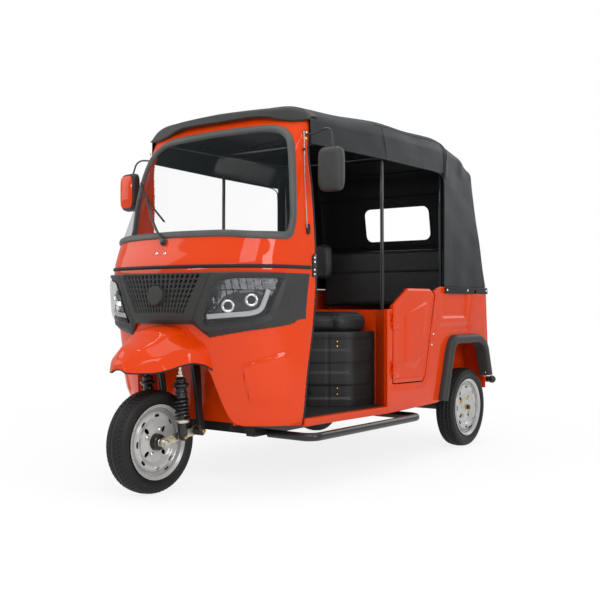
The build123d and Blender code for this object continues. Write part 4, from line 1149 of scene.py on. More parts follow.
@dataclass
class Cab:
    """Front body: skin, windscreen surround, fascia, grille, lamps and what is fixed to them."""

    skin: CabSurface = field(
        default_factory=lambda: CabSurface(
            [
                (290, 140.4, 640, 278, 541, 439, 2),
                (690, 85, 900, 330, 541, 492, 4),
                (985, 62, 1150, 280, 540, 521, 6),
                (1143, 120, 1500, 249, 535, 521, 8),
                (1240, 177.2, 1591.6, 216.1, 532.6, 539.7, 8),
                (1500, 330.6, 1837, 128, 526.3, 589.8, 8),
                (1760, 484, 2083, 40, 520, 640, 8),
            ]
        )
    )
    brow: CabSurface = field(
        default_factory=lambda: CabSurface(
            [
                (680, 76, 800, 330, 544, 488, 4),
                (820, 40, 1050, 310, 544, 507, 5),
                (1000, 32, 1150, 295, 544, 521, 6),
            ]
        )
    )
    wall: float = 18.0
    belt_z: float = 1016.0
    fascia_top: float = 988.0
    side_reach: float = 830.0
    edge_round: float = 7.0
    edge_fall: float = 5.0
    rear_edge: Sequence = (
        (288, 434), (483, 449), (768, 501), (969, 522), (1086, 522), (1367, 516), (1566, 500),
        (1640, 520), (1760, 527),
    )
    hem_z: float = 300.0
    opening_aft: float = 330.0
    screen_half: Sequence = (
        (300, 1154), (440, 1143), (630, 1143), (618, 1226), (573, 1332), (519, 1468), (488, 1552),
        (455, 1622), (396, 1670), (318, 1688),
    )
    header_lap: float = 8.0
    visor_half: float = 516.0
    visor_nose: float = 444.0
    visor_low: Sequence = (
        (0, 1738), (228, 1740), (300, 1731), (350, 1718), (400, 1709), (440, 1703), (470, 1702),
        (516, 1706),
    )
    visor_top: Sequence = (
        (0, 1777), (280, 1772), (400, 1768), (438, 1760), (470, 1749), (489, 1738), (505, 1725),
        (516, 1714),
    )
    opening: Sequence = ((-300, 100), (300, 100), (300, 300), (240, 527), (190, 650), (132, 684))
    fender: Sequence = (
        (-193, 38, 556, 34, 560, 19, 566, 568),
        (-190, 44, 555, 40, 566, 24, 584, 589),
        (-168, 80, 553, 74, 580, 42, 606, 613),
        (-125, 122, 553, 112, 604, 66, 645, 656),
        (-65, 172, 565, 152, 618, 90, 670, 694),
        (-10, 196, 582, 172, 640, 102, 698, 734),
        (40, 216, 590, 198, 648, 112, 710, 745),
        (95, 233, 580, 214, 652, 120, 714, 748),
        (170, 249, 536, 234, 652, 128, 717, 753),
    )
    lamp: Sequence = (
        (232, 756), (453, 774), (552, 806), (636, 964), (403, 962), (333, 950), (296, 906),
    )
    lamp_corner: float = 9.0
    lamp_mask: Sequence = (
        (250, 764), (459, 780), (548, 810), (586, 884), (520, 916), (420, 908), (345, 880), (300, 832),
    )

    def __post_init__(self) -> None:
        """Close the windscreen's outline from its left half."""
        half = list(self.screen_half)
        far = [(-x, z) for x, z in half[::-1]]
        self.screen = [(0, 1157), *half, (0, 1692), *far]

    def rear_at(self, z: Array) -> Array:
        """Rear limit of the skin at each height."""
        return monotone(z, *zip(*self.rear_edge))

    def header_at(self, x: Array) -> Array:
        """Upper limit of the skin, a little above the visor's lower edge."""
        return monotone(np.abs(x), *zip(*self.visor_low)) + self.header_lap

    def build(self) -> None:
        """Make every piece of the cab."""
        self.make_skin()
        self.make_screen()
        self.make_belt()
        self.make_fascia()
        self.make_grille()
        self.make_lamps()
        self.make_visor()
        self.make_fender()
        self.make_guard()
        self.make_fittings()
        self.make_wiper()
        self.make_mirrors()

    def wheel_hole(self, x: Array, z: Array) -> Array:
        """Distance outside the wheel's opening, whose outline is mirrored to the right."""
        right = [(-w, h) for w, h in self.opening[:1:-1]]
        return -rounded_distance(x, z, [*self.opening, *right], 6)

    def make_skin(self) -> None:
        """Every part of the cab's shell."""
        self.make_lower_skin()
        self.make_upper_skin()
        self.make_lining()
        self.make_edge_trim()

    def make_lower_skin(self) -> None:
        """Skin under the belt: raised by a pressed panel, rolled in at its edges, and cut to
        the rear edge, the hem, the lamps and the wheel's opening."""
        s, z = axes(-self.side_reach, self.side_reach, 296, 1012, 8.5)
        x, a = np.moveaxis(self.skin.point(s, z)[..., :2], -1, 0)
        panel = [(387, 577), (620, 638), (900, 660), (900, 250), (417, 250)]
        step = polygon_distance(np.abs(s), z, panel)
        fade = smooth((650 - np.abs(s)) / 90) * smooth((z - 380) / 60)
        relief = 7.0 * smooth(step / 8 + 0.5) * fade
        rear, hem = self.rear_at(z) - a, z - self.hem_z
        wheel = np.where(a < self.opening_aft, self.wheel_hole(x, z), UNCUT)
        # A round lower front corner: -k log(e^(-wheel / k) + e^(-hem / k)), the smooth least.
        k = 26.0
        parts = [np.exp(-np.clip(distance, -200, 200) / k) for distance in (wheel, hem)]
        low = -k * np.log(parts[0] + parts[1]) + 4
        lamp = -rounded_distance(np.abs(s), z, inset(self.lamp, -6), 8)
        keep = np.minimum.reduce([rear, low, lamp, hem])
        edge = self.edge_fall * (1 - smooth(np.minimum(rear, hem) / self.edge_round))
        body = Form.clipped(self.skin.lift(s, z, relief - edge), keep)
        piece("cowl_lower", body, Look.ORANGE, wall=self.wall, replaces=["front_cowl"], slot="body_paint")

    def make_upper_skin(self) -> None:
        """Skin over the belt, cut to the windscreen, the rear edge and the visor."""
        s, z = axes(-self.side_reach, self.side_reach, 1010, 1756, 8.0)
        x, a = np.moveaxis(self.skin.point(s, z)[..., :2], -1, 0)
        hole = -polygon_distance(s, z, inset(self.screen, 3))
        rear = self.rear_at(z) - a
        keep = np.minimum.reduce([hole, rear, self.header_at(x) - z])
        edge = self.edge_fall * (1 - smooth(rear / self.edge_round))
        body = Form.clipped(self.skin.lift(s, z, -edge), keep)
        piece("cowl_upper", body, Look.ORANGE, wall=self.wall, slot="body_paint")

    def make_lining(self) -> None:
        """Inner lining of the lower cab, deeper behind the lamps and the grille."""
        s, z = axes(-self.side_reach, self.side_reach, 316, 1132, 18.0)
        x, a = np.moveaxis(self.skin.point(s, z)[..., :2], -1, 0)
        near = (a < self.opening_aft) & (z < 720)
        wheel = np.where(near, self.wheel_hole(x, z) - 14, UNCUT)
        keep = np.minimum(self.rear_at(z) - a - 12, wheel)
        depth = -self.wall - 3.0 - 26.0 * smooth((z - 690) / 30) * smooth((1000 - z) / 30)
        lining = Form.clipped(self.skin.lift(s, z, depth), keep)
        piece("cab_lining", lining, Look.GREY_PLASTIC, wall=2, slot="grey_plastic")

    def make_edge_trim(self) -> None:
        """Rubber trim down the rear edge of each side."""
        height = np.arange(304, 1640, 12.0)
        rear = self.rear_at(height)
        x = np.array([np.interp(r, *self.side_line(h)) for r, h in zip(rear, height)])
        trim = Form.tube(stack(x - 4, rear + 1, height), 6.0, 10)
        piece("door_edge_trim", trim.both(), Look.RUBBER)

    def side_line(self, z: float) -> tuple[Array, Array]:
        """Aft and x of the skin's left side at one height."""
        s = np.linspace(300, 900, 120)
        p = self.skin.point(s, np.full_like(s, z))
        return p[:, 1], p[:, 0]

    def screen_path(self, margin: float) -> tuple[Array, Array]:
        """Windscreen outline, set in by a margin, as lengths and heights on the skin."""
        line = fillet_line(inset(self.screen, margin), 44.0 - margin * 0.5, 8, closed=True)
        line = resample(line, 12.0, closed=True)
        return line[:, 0], line[:, 1]

    def make_screen(self) -> None:
        """Rubber seal round the windscreen, as a rounded bead carried along its outline."""
        s, z = self.screen_path(0.0)
        path = self.skin.point(s, z)
        up = self.skin.out_at(s, z)
        inward = np.cross(up, unit(np.roll(path, -1, 0) - np.roll(path, 1, 0)))
        middle = path.mean(0)
        if np.mean(np.sum(inward * (middle - path), axis=1)) < 0:
            inward = -inward
        profile = (
            (-5, -1), (-5, 4), (-1, 8), (6, 10), (15, 10.5), (23, 9), (28, 5), (30, 0), (30, -8),
            (-5, -8),
        )
        profile = fillet_line(profile, 2.5, 3, closed=True)
        seal = Form.along(path, inward, up, profile, closed=True, ring=True)
        piece("screen_rubber", seal, Look.SEAL, replaces=["windscreen_seal"], slot="rubber", closed=True)
        self.make_pane()

    def make_pane(self) -> None:
        """Windscreen, a little under the skin and cut inside its seal."""
        s, z = axes(-640, 640, 1140, 1694, 12.0)
        inside = rounded_distance(s, z, inset(self.screen, 12), 30)
        pane = Form.clipped(self.skin.lift(s, z, np.full_like(s, -3.0)), inside)
        piece("screen_pane", pane, Look.GLASS, replaces=["windscreen_glass"], slot="glass")

    def make_belt(self) -> None:
        """Half-round strip round the cab at belt height."""
        s = np.linspace(-790, 790, 220)
        z = np.full_like(s, self.belt_z)
        path, up = self.skin.point(s, z), self.skin.out_at(s, z)
        good = path[:, 1] < self.rear_at(z) - 3
        path, up = path[good], up[good]
        high = np.tile((0.0, 0.0, 1.0), (len(path), 1))
        t = np.linspace(-math.pi / 2, math.pi / 2, 9)
        profile = np.stack([8.5 * np.sin(t), 7.5 * np.cos(t)], 1)
        profile = np.concatenate([[(-8.5, -2)], profile, [(8.5, -2)]])
        belt = Form.along(path, high, up, profile, ring=True)
        piece("belt_strip", belt, Look.RUBBER, replaces=["belt_trim"], slot="rubber", closed=True)

    def fascia_edge(self, s: Array, z: Array) -> Array:
        """Distance inside the fascia's outline."""
        half = [(181, 756), (251, 696), (448, 730), (766, 770), (814, self.fascia_top)]
        outline = [(-w, h) for w, h in half[::-1]] + half
        return rounded_distance(s, z, outline, 4)

    def grille_edge(self, s: Array, z: Array) -> Array:
        """Distance inside the grille's opening."""
        half = [(156, 806), (255, 984)]
        outline = [(-x, h) for x, h in half] + half[::-1]
        return rounded_distance(s, z, outline, 12)

    def make_fascia(self) -> None:
        """Plastic fascia: quarter-round edges down to the skin, a ridge round the grille and
        round each lamp, and a sunk band inside the lamp's ridge."""
        s, z = axes(-820, 820, 692, 992, 5.5)
        edge = self.fascia_edge(s, z)
        grille = self.grille_edge(s, z)
        lamp = rounded_distance(np.abs(s), z, self.lamp, self.lamp_corner)
        keep = np.minimum.reduce([edge, -grille, -lamp])
        rim = 5.0
        height = -1.6 * quarter(rim - edge, rim)
        height += 3.4 * bump((grille + 8) / 3.5)
        height += 3.2 * bump((lamp + 26) / 5) - 5.0 * smooth((lamp + 20) / 16)
        # The lower border slopes back under a soft crease.
        height -= np.where(z < 780, 5.0 * smooth((26 - edge) / 20), 0)
        body = Form.clipped(self.brow.lift(s, z, height), keep)
        piece("fascia_panel", body, Look.GREY_PLASTIC, wall=14, replaces=["fascia"], slot="grey_plastic")
        # Joint between the grille section and each lamp section.
        t = np.linspace(0, 1, 24)
        s, z = 292 + (186 - 292) * t, 984 + (766 - 984) * t
        groove = np.array([(-1.4, 0), (1.4, 0), (1.4, 0.5), (-1.4, 0.5)])
        joint = Form.strip(self.brow.lift(s, z, 0.1), self.brow.out_at(s, z), groove)
        piece("fascia_joint", joint.both(), Look.RUBBER, closed=True)

    def make_grille(self) -> None:
        """Grille as a height over the fascia's skin: upright ribs that fan out to the top,
        lower cross bars between them, and a blank boss. A rib or bar stands where the
        distance to the nearest whole number of ribs or bars is small."""
        ribs, pitch, floor = 9.0, 22.0, -22.0
        s, z = axes(-262, 262, 798, 986, 2.2)
        edge = self.grille_edge(s, z)
        half = np.interp(z, (806, 984), (150, 249))
        bar_at = (z - 806) / pitch
        rib_at = (s + np.sin(2 * math.pi * bar_at)) / half * ribs
        rib = smooth((7.2 - np.abs(rib_at - np.round(rib_at)) * half / ribs) / 2.6)
        bar = smooth((6.2 - np.abs(bar_at - np.round(bar_at)) * pitch) / 2.6)
        height = floor + np.maximum(rib * 21.0, bar * 16.5)
        height = np.where(edge < 5, np.maximum(height, -4.0), height)
        mesh = Form.clipped(self.brow.lift(s, z, height), edge + 2.5)
        piece("grille_mesh", mesh, Look.GREY_PLASTIC, replaces=["grille"], slot="grey_plastic", sharp=60)
        ring = [(0, 22), (38, 22), (41, 21.4), (43, 19), (44.5, 14), (45.5, 2), (45.5, -20)]
        centre = self.brow.point(np.array(2.0), np.array(887.0))
        boss = Form.turned(fillet_line(ring, 1.5, 3), centre, (0, -1, 0.02), 56)
        piece("grille_boss", boss, Look.GREY_PLASTIC, slot="grey_plastic", sharp=50)

    def make_lamps(self) -> None:
        """Each lamp: a clear cover, a bright stepped bowl, two projectors and a light bar."""
        s, z = axes(225, 645, 748, 972, 5.0)
        edge = rounded_distance(s, z, self.lamp, self.lamp_corner)
        bulge = 2.0 + 3.0 * smooth(edge / 25)
        cover = Form.clipped(self.brow.lift(s, z, bulge), edge + 0.5)
        piece("lamp_covers", cover.both(), Look.LENS, replaces=["headlamp_lenses"], slot="lens")
        self.make_lamp_walls()
        step_wide, step_high = 37.0, 7.0
        place = (s + 0.18 * z) / step_wide
        rows = np.where(z > 912, 6.0, 0.0)
        bowl = self.brow.lift(s, z, -40.0 + (place - np.floor(place)) * step_high + rows)
        bowl = Form.clipped(bowl, edge - 1.0)
        piece("lamp_bowls", bowl.both(), Look.REFLECTOR, slot="chrome", sharp=20)
        inner = rounded_distance(s, z, self.lamp_mask, 10)
        plate = self.brow.lift(s, z, -22.0 - 6.0 * (1 - smooth(inner / 14)))
        mask = Form.clipped(plate, inner)
        piece("lamp_masks", mask.both(), Look.BLACK_PAINT, wall=4, slot="black_paint")
        self.make_projectors()
        self.make_light_bars()

    def make_lamp_walls(self) -> None:
        """Walls from each cover's edge back to the bowl, which is a little smaller."""
        line = resample(fillet_line(self.lamp, 10, 5, closed=True), 8.0, closed=True)
        rim, deep = (self.brow.lift(line[:, 0], line[:, 1], out) for out in (-1.0, -44.0))
        middle = deep.mean(0)
        deep = middle + (deep - middle) * 0.95
        wall = Form.grid(np.stack([rim, (rim + deep) * 0.5, deep], 1), wrap_u=True)
        piece(
            "lamp_bowl_walls", wall.both(), Look.DARK_METAL,
            slot="chrome", replaces=["headlamp_housings"],
        )

    def make_projectors(self) -> None:
        """Two projectors in each lamp: a turned bezel round a quarter-ellipse lens."""
        turn = math.radians(40)
        facing = np.array((math.sin(turn), -math.cos(turn), 0.04))
        bezel = fillet_line([(17, 2), (19, 14), (21, 20), (25, 21), (29, 18), (30, 12), (31, -6)], 1.0, 3)
        t = np.linspace(0, math.pi / 2, 8)
        ball = np.stack([18.5 * np.cos(t), 4 + 8 * np.sin(t)], 1)
        spots = ((372.0, 842.0), (476.0, 868.0))
        centres = [self.brow.point(np.array(s), np.array(z)) - facing * 34 for s, z in spots]
        rings = Form.joined([Form.turned(bezel, centre, facing, 10) for centre in centres])
        balls = Form.joined([Form.turned(ball, centre, facing, 40) for centre in centres])
        piece("projector_rings", rings.both(), Look.CHROME, slot="chrome", wall=2)
        piece("projector_lenses", balls.both(), Look.DARK_METAL, slot="lens")

    def make_light_bars(self) -> None:
        """Light guide round the lower and outer side of each lamp."""
        bar = fillet_line([(262, 790), (470, 806), (520, 822), (552, 890), (560, 912)], 26, 6)
        s, z = resample(bar, 8.0).T
        profile = fillet_line([(-11, -5), (11, -5), (11, 4), (-11, 4)], 3, 3, closed=True)
        strip = Form.strip(self.brow.lift(s, z, -13.0), self.brow.out_at(s, z), profile)
        piece("lamp_light_bars", strip.both(), Look.LIGHT_BAR, slot="lens", closed=True)

    def make_visor(self) -> None:
        """Moulded peak over the header. Its lip and its top follow two tables over |x|; the
        face between them leans back and rolls over on to the roof. In plan its nose falls
        back with x^2."""
        x = self.visor_half * np.sin(np.linspace(-1, 1, 161) * math.pi / 2 * 0.999)
        low = monotone(np.abs(x), *zip(*self.visor_low))
        top = monotone(np.abs(x), *zip(*self.visor_top))
        nose = self.visor_nose + 62.0 * (x / 514.0) ** 2
        high = top - low
        lip = np.minimum(3.0, 0.1 * high)
        rows = [
            (nose + 20, low + lip),
            (nose + 3, low - 1),
            (nose - 1, low + lip),
            (nose, low + 0.16 * high),
            (nose + 3, low + 0.55 * high),
            (nose + 6, top - 0.22 * high),
            (nose + 10, top - 0.08 * high),
            (nose + 19, top),
            (np.minimum(nose + 44, 552), top + 2.0),
            (np.full_like(x, 562.0), top + 0.5),
        ]
        grid = np.stack([np.stack([x, a, z], -1) for a, z in rows], 1)
        visor = Form.grid(grid).turned_out()
        piece(
            "header_peak", visor, Look.GREY_PLASTIC,
            wall=5, replaces=["visor"], slot="grey_plastic", sharp=60,
        )
        joint = [(0.0, self.visor_nose - 1.4, z) for z in np.linspace(1740, 1768, 6)]
        piece("header_joint", Form.tube(joint, 1.2, 6), Look.RUBBER)

    def fender_grid(self) -> tuple[Array, Array]:
        """Bonnet over the wheel. Each station is a curve across from the crown over a cheek
        and a shoulder to the edge; the numbers of each follow the length by cubics.

        Returns:
            The grid of points, and for each the distance ahead of the cab skin.
        """
        table = np.array(self.fender, float)
        nose, rear = table[0, 0], table[-1, 0]
        u = np.concatenate([nose + 33 * np.linspace(0, 1, 26) ** 3, np.linspace(-155, rear, 62)])
        v = np.linspace(-1, 1, 105)
        half, edge, shoulder_x, shoulder_z, cheek_x, cheek_z, crown = [
            monotone(u, table[:, 0], table[:, k])[:, None] for k in range(1, 8)
        ]
        m = np.abs(v)[None, :]
        round_part = np.clip(m / 0.4, 0, 1) * math.pi / 2
        side, brim = np.clip((m - 0.4) / 0.36, 0, 1), np.clip((m - 0.76) / 0.24, 0, 1)
        x = cheek_x * np.sin(round_part) + side * (shoulder_x - cheek_x) + brim * (half - shoulder_x)
        z = cheek_z + (crown - cheek_z) * np.cos(round_part)
        z = z + side * (shoulder_z - cheek_z) + brim * (edge - shoulder_z)
        for _ in range(3):
            for part in (x, z):
                part[:, 1:-1] = 0.25 * part[:, :-2] + 0.5 * part[:, 1:-1] + 0.25 * part[:, 2:]
        x[:, len(v) // 2] = 0.0
        grid = np.stack([x * np.sign(v)[None, :], np.broadcast_to(u[:, None], x.shape), z], -1)
        s = self.skin.reach(grid[..., 0], grid[..., 2])
        ahead = self.skin.point(s, grid[..., 2])[..., 1] - grid[..., 1]
        return grid, ahead + 6

    def make_fender(self) -> None:
        """Fender over the wheel with a rubber edge."""
        grid, ahead = self.fender_grid()
        piece(
            "fender_shell", Form.clipped(grid, ahead), Look.ORANGE,
            wall=4, replaces=["front_fender"], slot="body_paint", sharp=60,
        )
        left = grid[:, -1][ahead[:, -1] > 4]
        right = grid[:, 0][ahead[:, 0] > 4]
        nose = grid[0, 1:-1]
        line = resample(np.concatenate([left[::-1], nose[::-1], right]), 6.0)
        piece("fender_edge", Form.tube(line + (0, 0, -2.0), 4.4, 10), Look.RUBBER)

    def make_guard(self) -> None:
        """Inner wall of the wheel space and dashboard, which keep their CAD shapes."""
        dress("splash_guard", Look.ORANGE)
        dress("dashboard", Look.GREY_PLASTIC)

    def make_fittings(self) -> None:
        """Washer nozzles, the bracket and bolts on the pillar, the aerial and the clamps."""
        jets = []
        for x in (-57.0, -3.0):
            s, z = self.skin.reach(np.array(x), np.array(1080.0)), np.array(1080.0)
            spot, out = self.skin.point(s, z), self.skin.out_at(s, z)
            jets.append(Form.turned([(7, -1), (7, 2), (4, 5), (0, 6)], spot, out, 16))
        piece("washer_jets", Form.joined(jets), Look.CHROME)
        plate = [(492, 972), (520, 972), (520, 1078), (500, 1078), (492, 1060)]
        plate = Form.side_plate(plate, 5, 541.5, 6.0)
        piece("pillar_bracket", plate.both(), Look.BLACK_PAINT, bevel=1.0)
        heads = [(541.0 + (z - 980) * 0.01, 506.0, z) for z in (1062.0, 1042.0, 1006.0, 986.0)]
        piece("pillar_bolts", bolt_heads(heads, LEFT, 5.5, 5).both(), Look.CHROME)
        self.make_aerial()
        clamps = bolt_heads([(506, 489, 1638), (504, 489, 1612)], (0.8, -0.6, 0), 8, 6)
        piece("mirror_clamps", clamps.both(), Look.GOLD)

    def make_aerial(self) -> None:
        """Aerial: a rubber foot on the pillar, a bent rod and a clip."""
        foot = [(-10, -25), (9, -25), (12, 6), (8, 24), (-8, 22)]
        foot = fillet_line(foot, 4, 3, closed=True)
        foot = Form.plate(foot, (534, 470, 1193), (0.25, 0.97, 0), (0, 0, 1), 16)
        piece("aerial_foot", foot, Look.RUBBER, bevel=2.0, replaces=["antenna"])
        rod = [(532, 460, 1196), (519, 461, 1420), (515, 462, 1560), (514, 462, 1640)]
        rod = Form.tube(resample(fillet_line(rod, 40, 5), 20), 2.2, 8)
        piece("aerial_rod", rod, Look.CHROME, slot="chrome")
        clip = Form.turned([(5, -6), (7, -4), (7, 4), (5, 6)], (514, 462, 1556), (0, 0.05, 1), 14)
        piece("aerial_clip", clip, Look.RUBBER, wall=2)

    def make_wiper(self) -> None:
        """Wiper with its pivot under the screen, a tapered arm and a long blade. Each point
        of a line is (x, z, stand-off from the skin)."""
        arm = [(-34, 1133, 14), (-90, 1180, 26), (-200, 1275, 26), (-290, 1353, 20)]
        arm = resample(fillet_line([self.skin.at(*spot) for spot in arm], 40, 5), 12)
        made = Form.tube(arm, np.linspace(7.5, 3.5, len(arm)), 10)
        turned = [(0, 18), (10, 17), (14, 12), (15, 4), (19, 0), (19, -4)]
        pivot = Form.turned(turned, self.skin.at(-34, 1133, 4), (0, -1, 0.35), 24)
        piece(
            "wiper_arm", made + pivot, Look.BLACK_PAINT,
            replaces=["wiper"], slot="black_paint", closed=True,
        )
        spots = [(-87, 1233, 7), (-200, 1300, 8), (-283, 1352, 9), (-380, 1412, 8), (-479, 1471, 7)]
        blade = resample(np.array([self.skin.at(*spot) for spot in spots]), 14)
        middle, z = np.array(-283.0), np.array(1352.0)
        up = np.tile(self.skin.out_at(self.skin.reach(middle, z), z), (len(blade), 1))
        half = [(5, 2), (1.5, 0), (1, -7)]
        profile = [(-5, 2), (-3, 6), (3, 6), *half, *((-w, h) for w, h in half[:0:-1])]
        piece("wiper_blade", Form.strip(blade, up, np.array(profile)), Look.RUBBER, closed=True)

    def make_mirrors(self) -> None:
        """Door mirrors on bent arms. The housing is a rounded box that tapers forwards: its
        section is a superellipse |x|^n + |z|^n = 1 scaled along the depth."""
        left = [
            (497, 492, 1638), (540, 494, 1626), (606, 495, 1648), (641, 494, 1640), (651, 490, 1560),
            (652, 478, 1500),
        ]
        right = [
            (-500, 500, 1602), (-585, 498, 1614), (-622, 494, 1600), (-640, 490, 1548),
            (-652, 478, 1500),
        ]
        self.make_mirror("left", 1, 12.0, 1457.0, left, ["mirrors"])
        self.make_mirror("right", -1, 6.0, 1445.0, right, [])

    def make_mirror(
        self,
        name: str,
        side: int,
        yaw: float,
        height: float,
        arm: Sequence,
        replaces: Sequence[str],
    ) -> None:
        """One mirror.

        Args:
            name: Side's name.
            side: 1 for left, -1 for right.
            yaw: Angle in degrees by which its face turns to the driver.
            height: Height of its middle.
            arm: Corners of its arm, from the pillar.
            replaces: CAD nodes that it stands for.
        """
        t = full_turn(72)
        power = 5.0
        c, sn = np.cos(t), np.sin(t)
        r = 1.0 / (np.abs(c) ** power + np.abs(sn) ** power) ** (1 / power)
        a = math.radians(yaw)
        wide, tall = np.array((math.cos(a), side * math.sin(a), 0.0)), np.array((0, 0, 1.0))
        back = np.array((-wide[1], wide[0], 0.0))
        centre = np.array((side * 652.0, 476.0, height))

        def ring(share: float, depth: float, half: tuple[float, float] = (61, 101)) -> Array:
            """Section scaled by a share, at a depth behind the middle."""
            across = wide * (half[0] * share * r * c)[:, None]
            return centre + back * depth + across + tall * (half[1] * share * r * sn)[:, None]

        rings = [
            (0.94, 22), (0.985, 20), (1.0, 14), (0.99, 2), (0.95, -12), (0.86, -22), (0.66, -28),
            (0.3, -31), (0.0, -32),
        ]
        shell = Form.grid(np.stack([ring(*spot) for spot in rings], 0), wrap_v=True)
        piece(
            f"mirror_case_{name}", shell, Look.GREY_PLASTIC,
            closed=True, slot="grey_plastic", sharp=50, replaces=replaces,
        )
        face, hub = ring(1.0, 20.5, (56, 97)), centre + back * 20.0
        glass = [face, hub + (face - hub) * 0.5, hub + (face - hub) * 0.02]
        glass = Form.grid(np.stack(glass, 0), wrap_v=True)
        piece(f"mirror_glass_{name}", glass, Look.MIRROR, slot="chrome")
        # Painted reflection: an orange cap on the front of the right housing stands in for the orange
        # seen reflected in this mirror's glass.
        if side < 0:
            front = [ring(*spot) for spot in ((0.84, -24.5), (0.66, -30), (0.3, -33), (0.0, -34))]
            cover = Form.grid(np.stack(front, 0), wrap_v=True)
            piece("mirror_painted_reflection_right", cover, Look.ORANGE, slot="body_paint")
        bar = Form.tube(fillet_line(arm, 26, 7), 4.6, 12)
        piece(f"mirror_arm_{name}", bar, Look.BLACK_PAINT, slot="black_paint")
        foot = Form.turned([(0, 14), (8, 12), (11, 3), (11, -9)], arm[0], (side, -0.3, 0), 18)
        piece(f"mirror_foot_{name}", foot, Look.BLACK_PAINT)


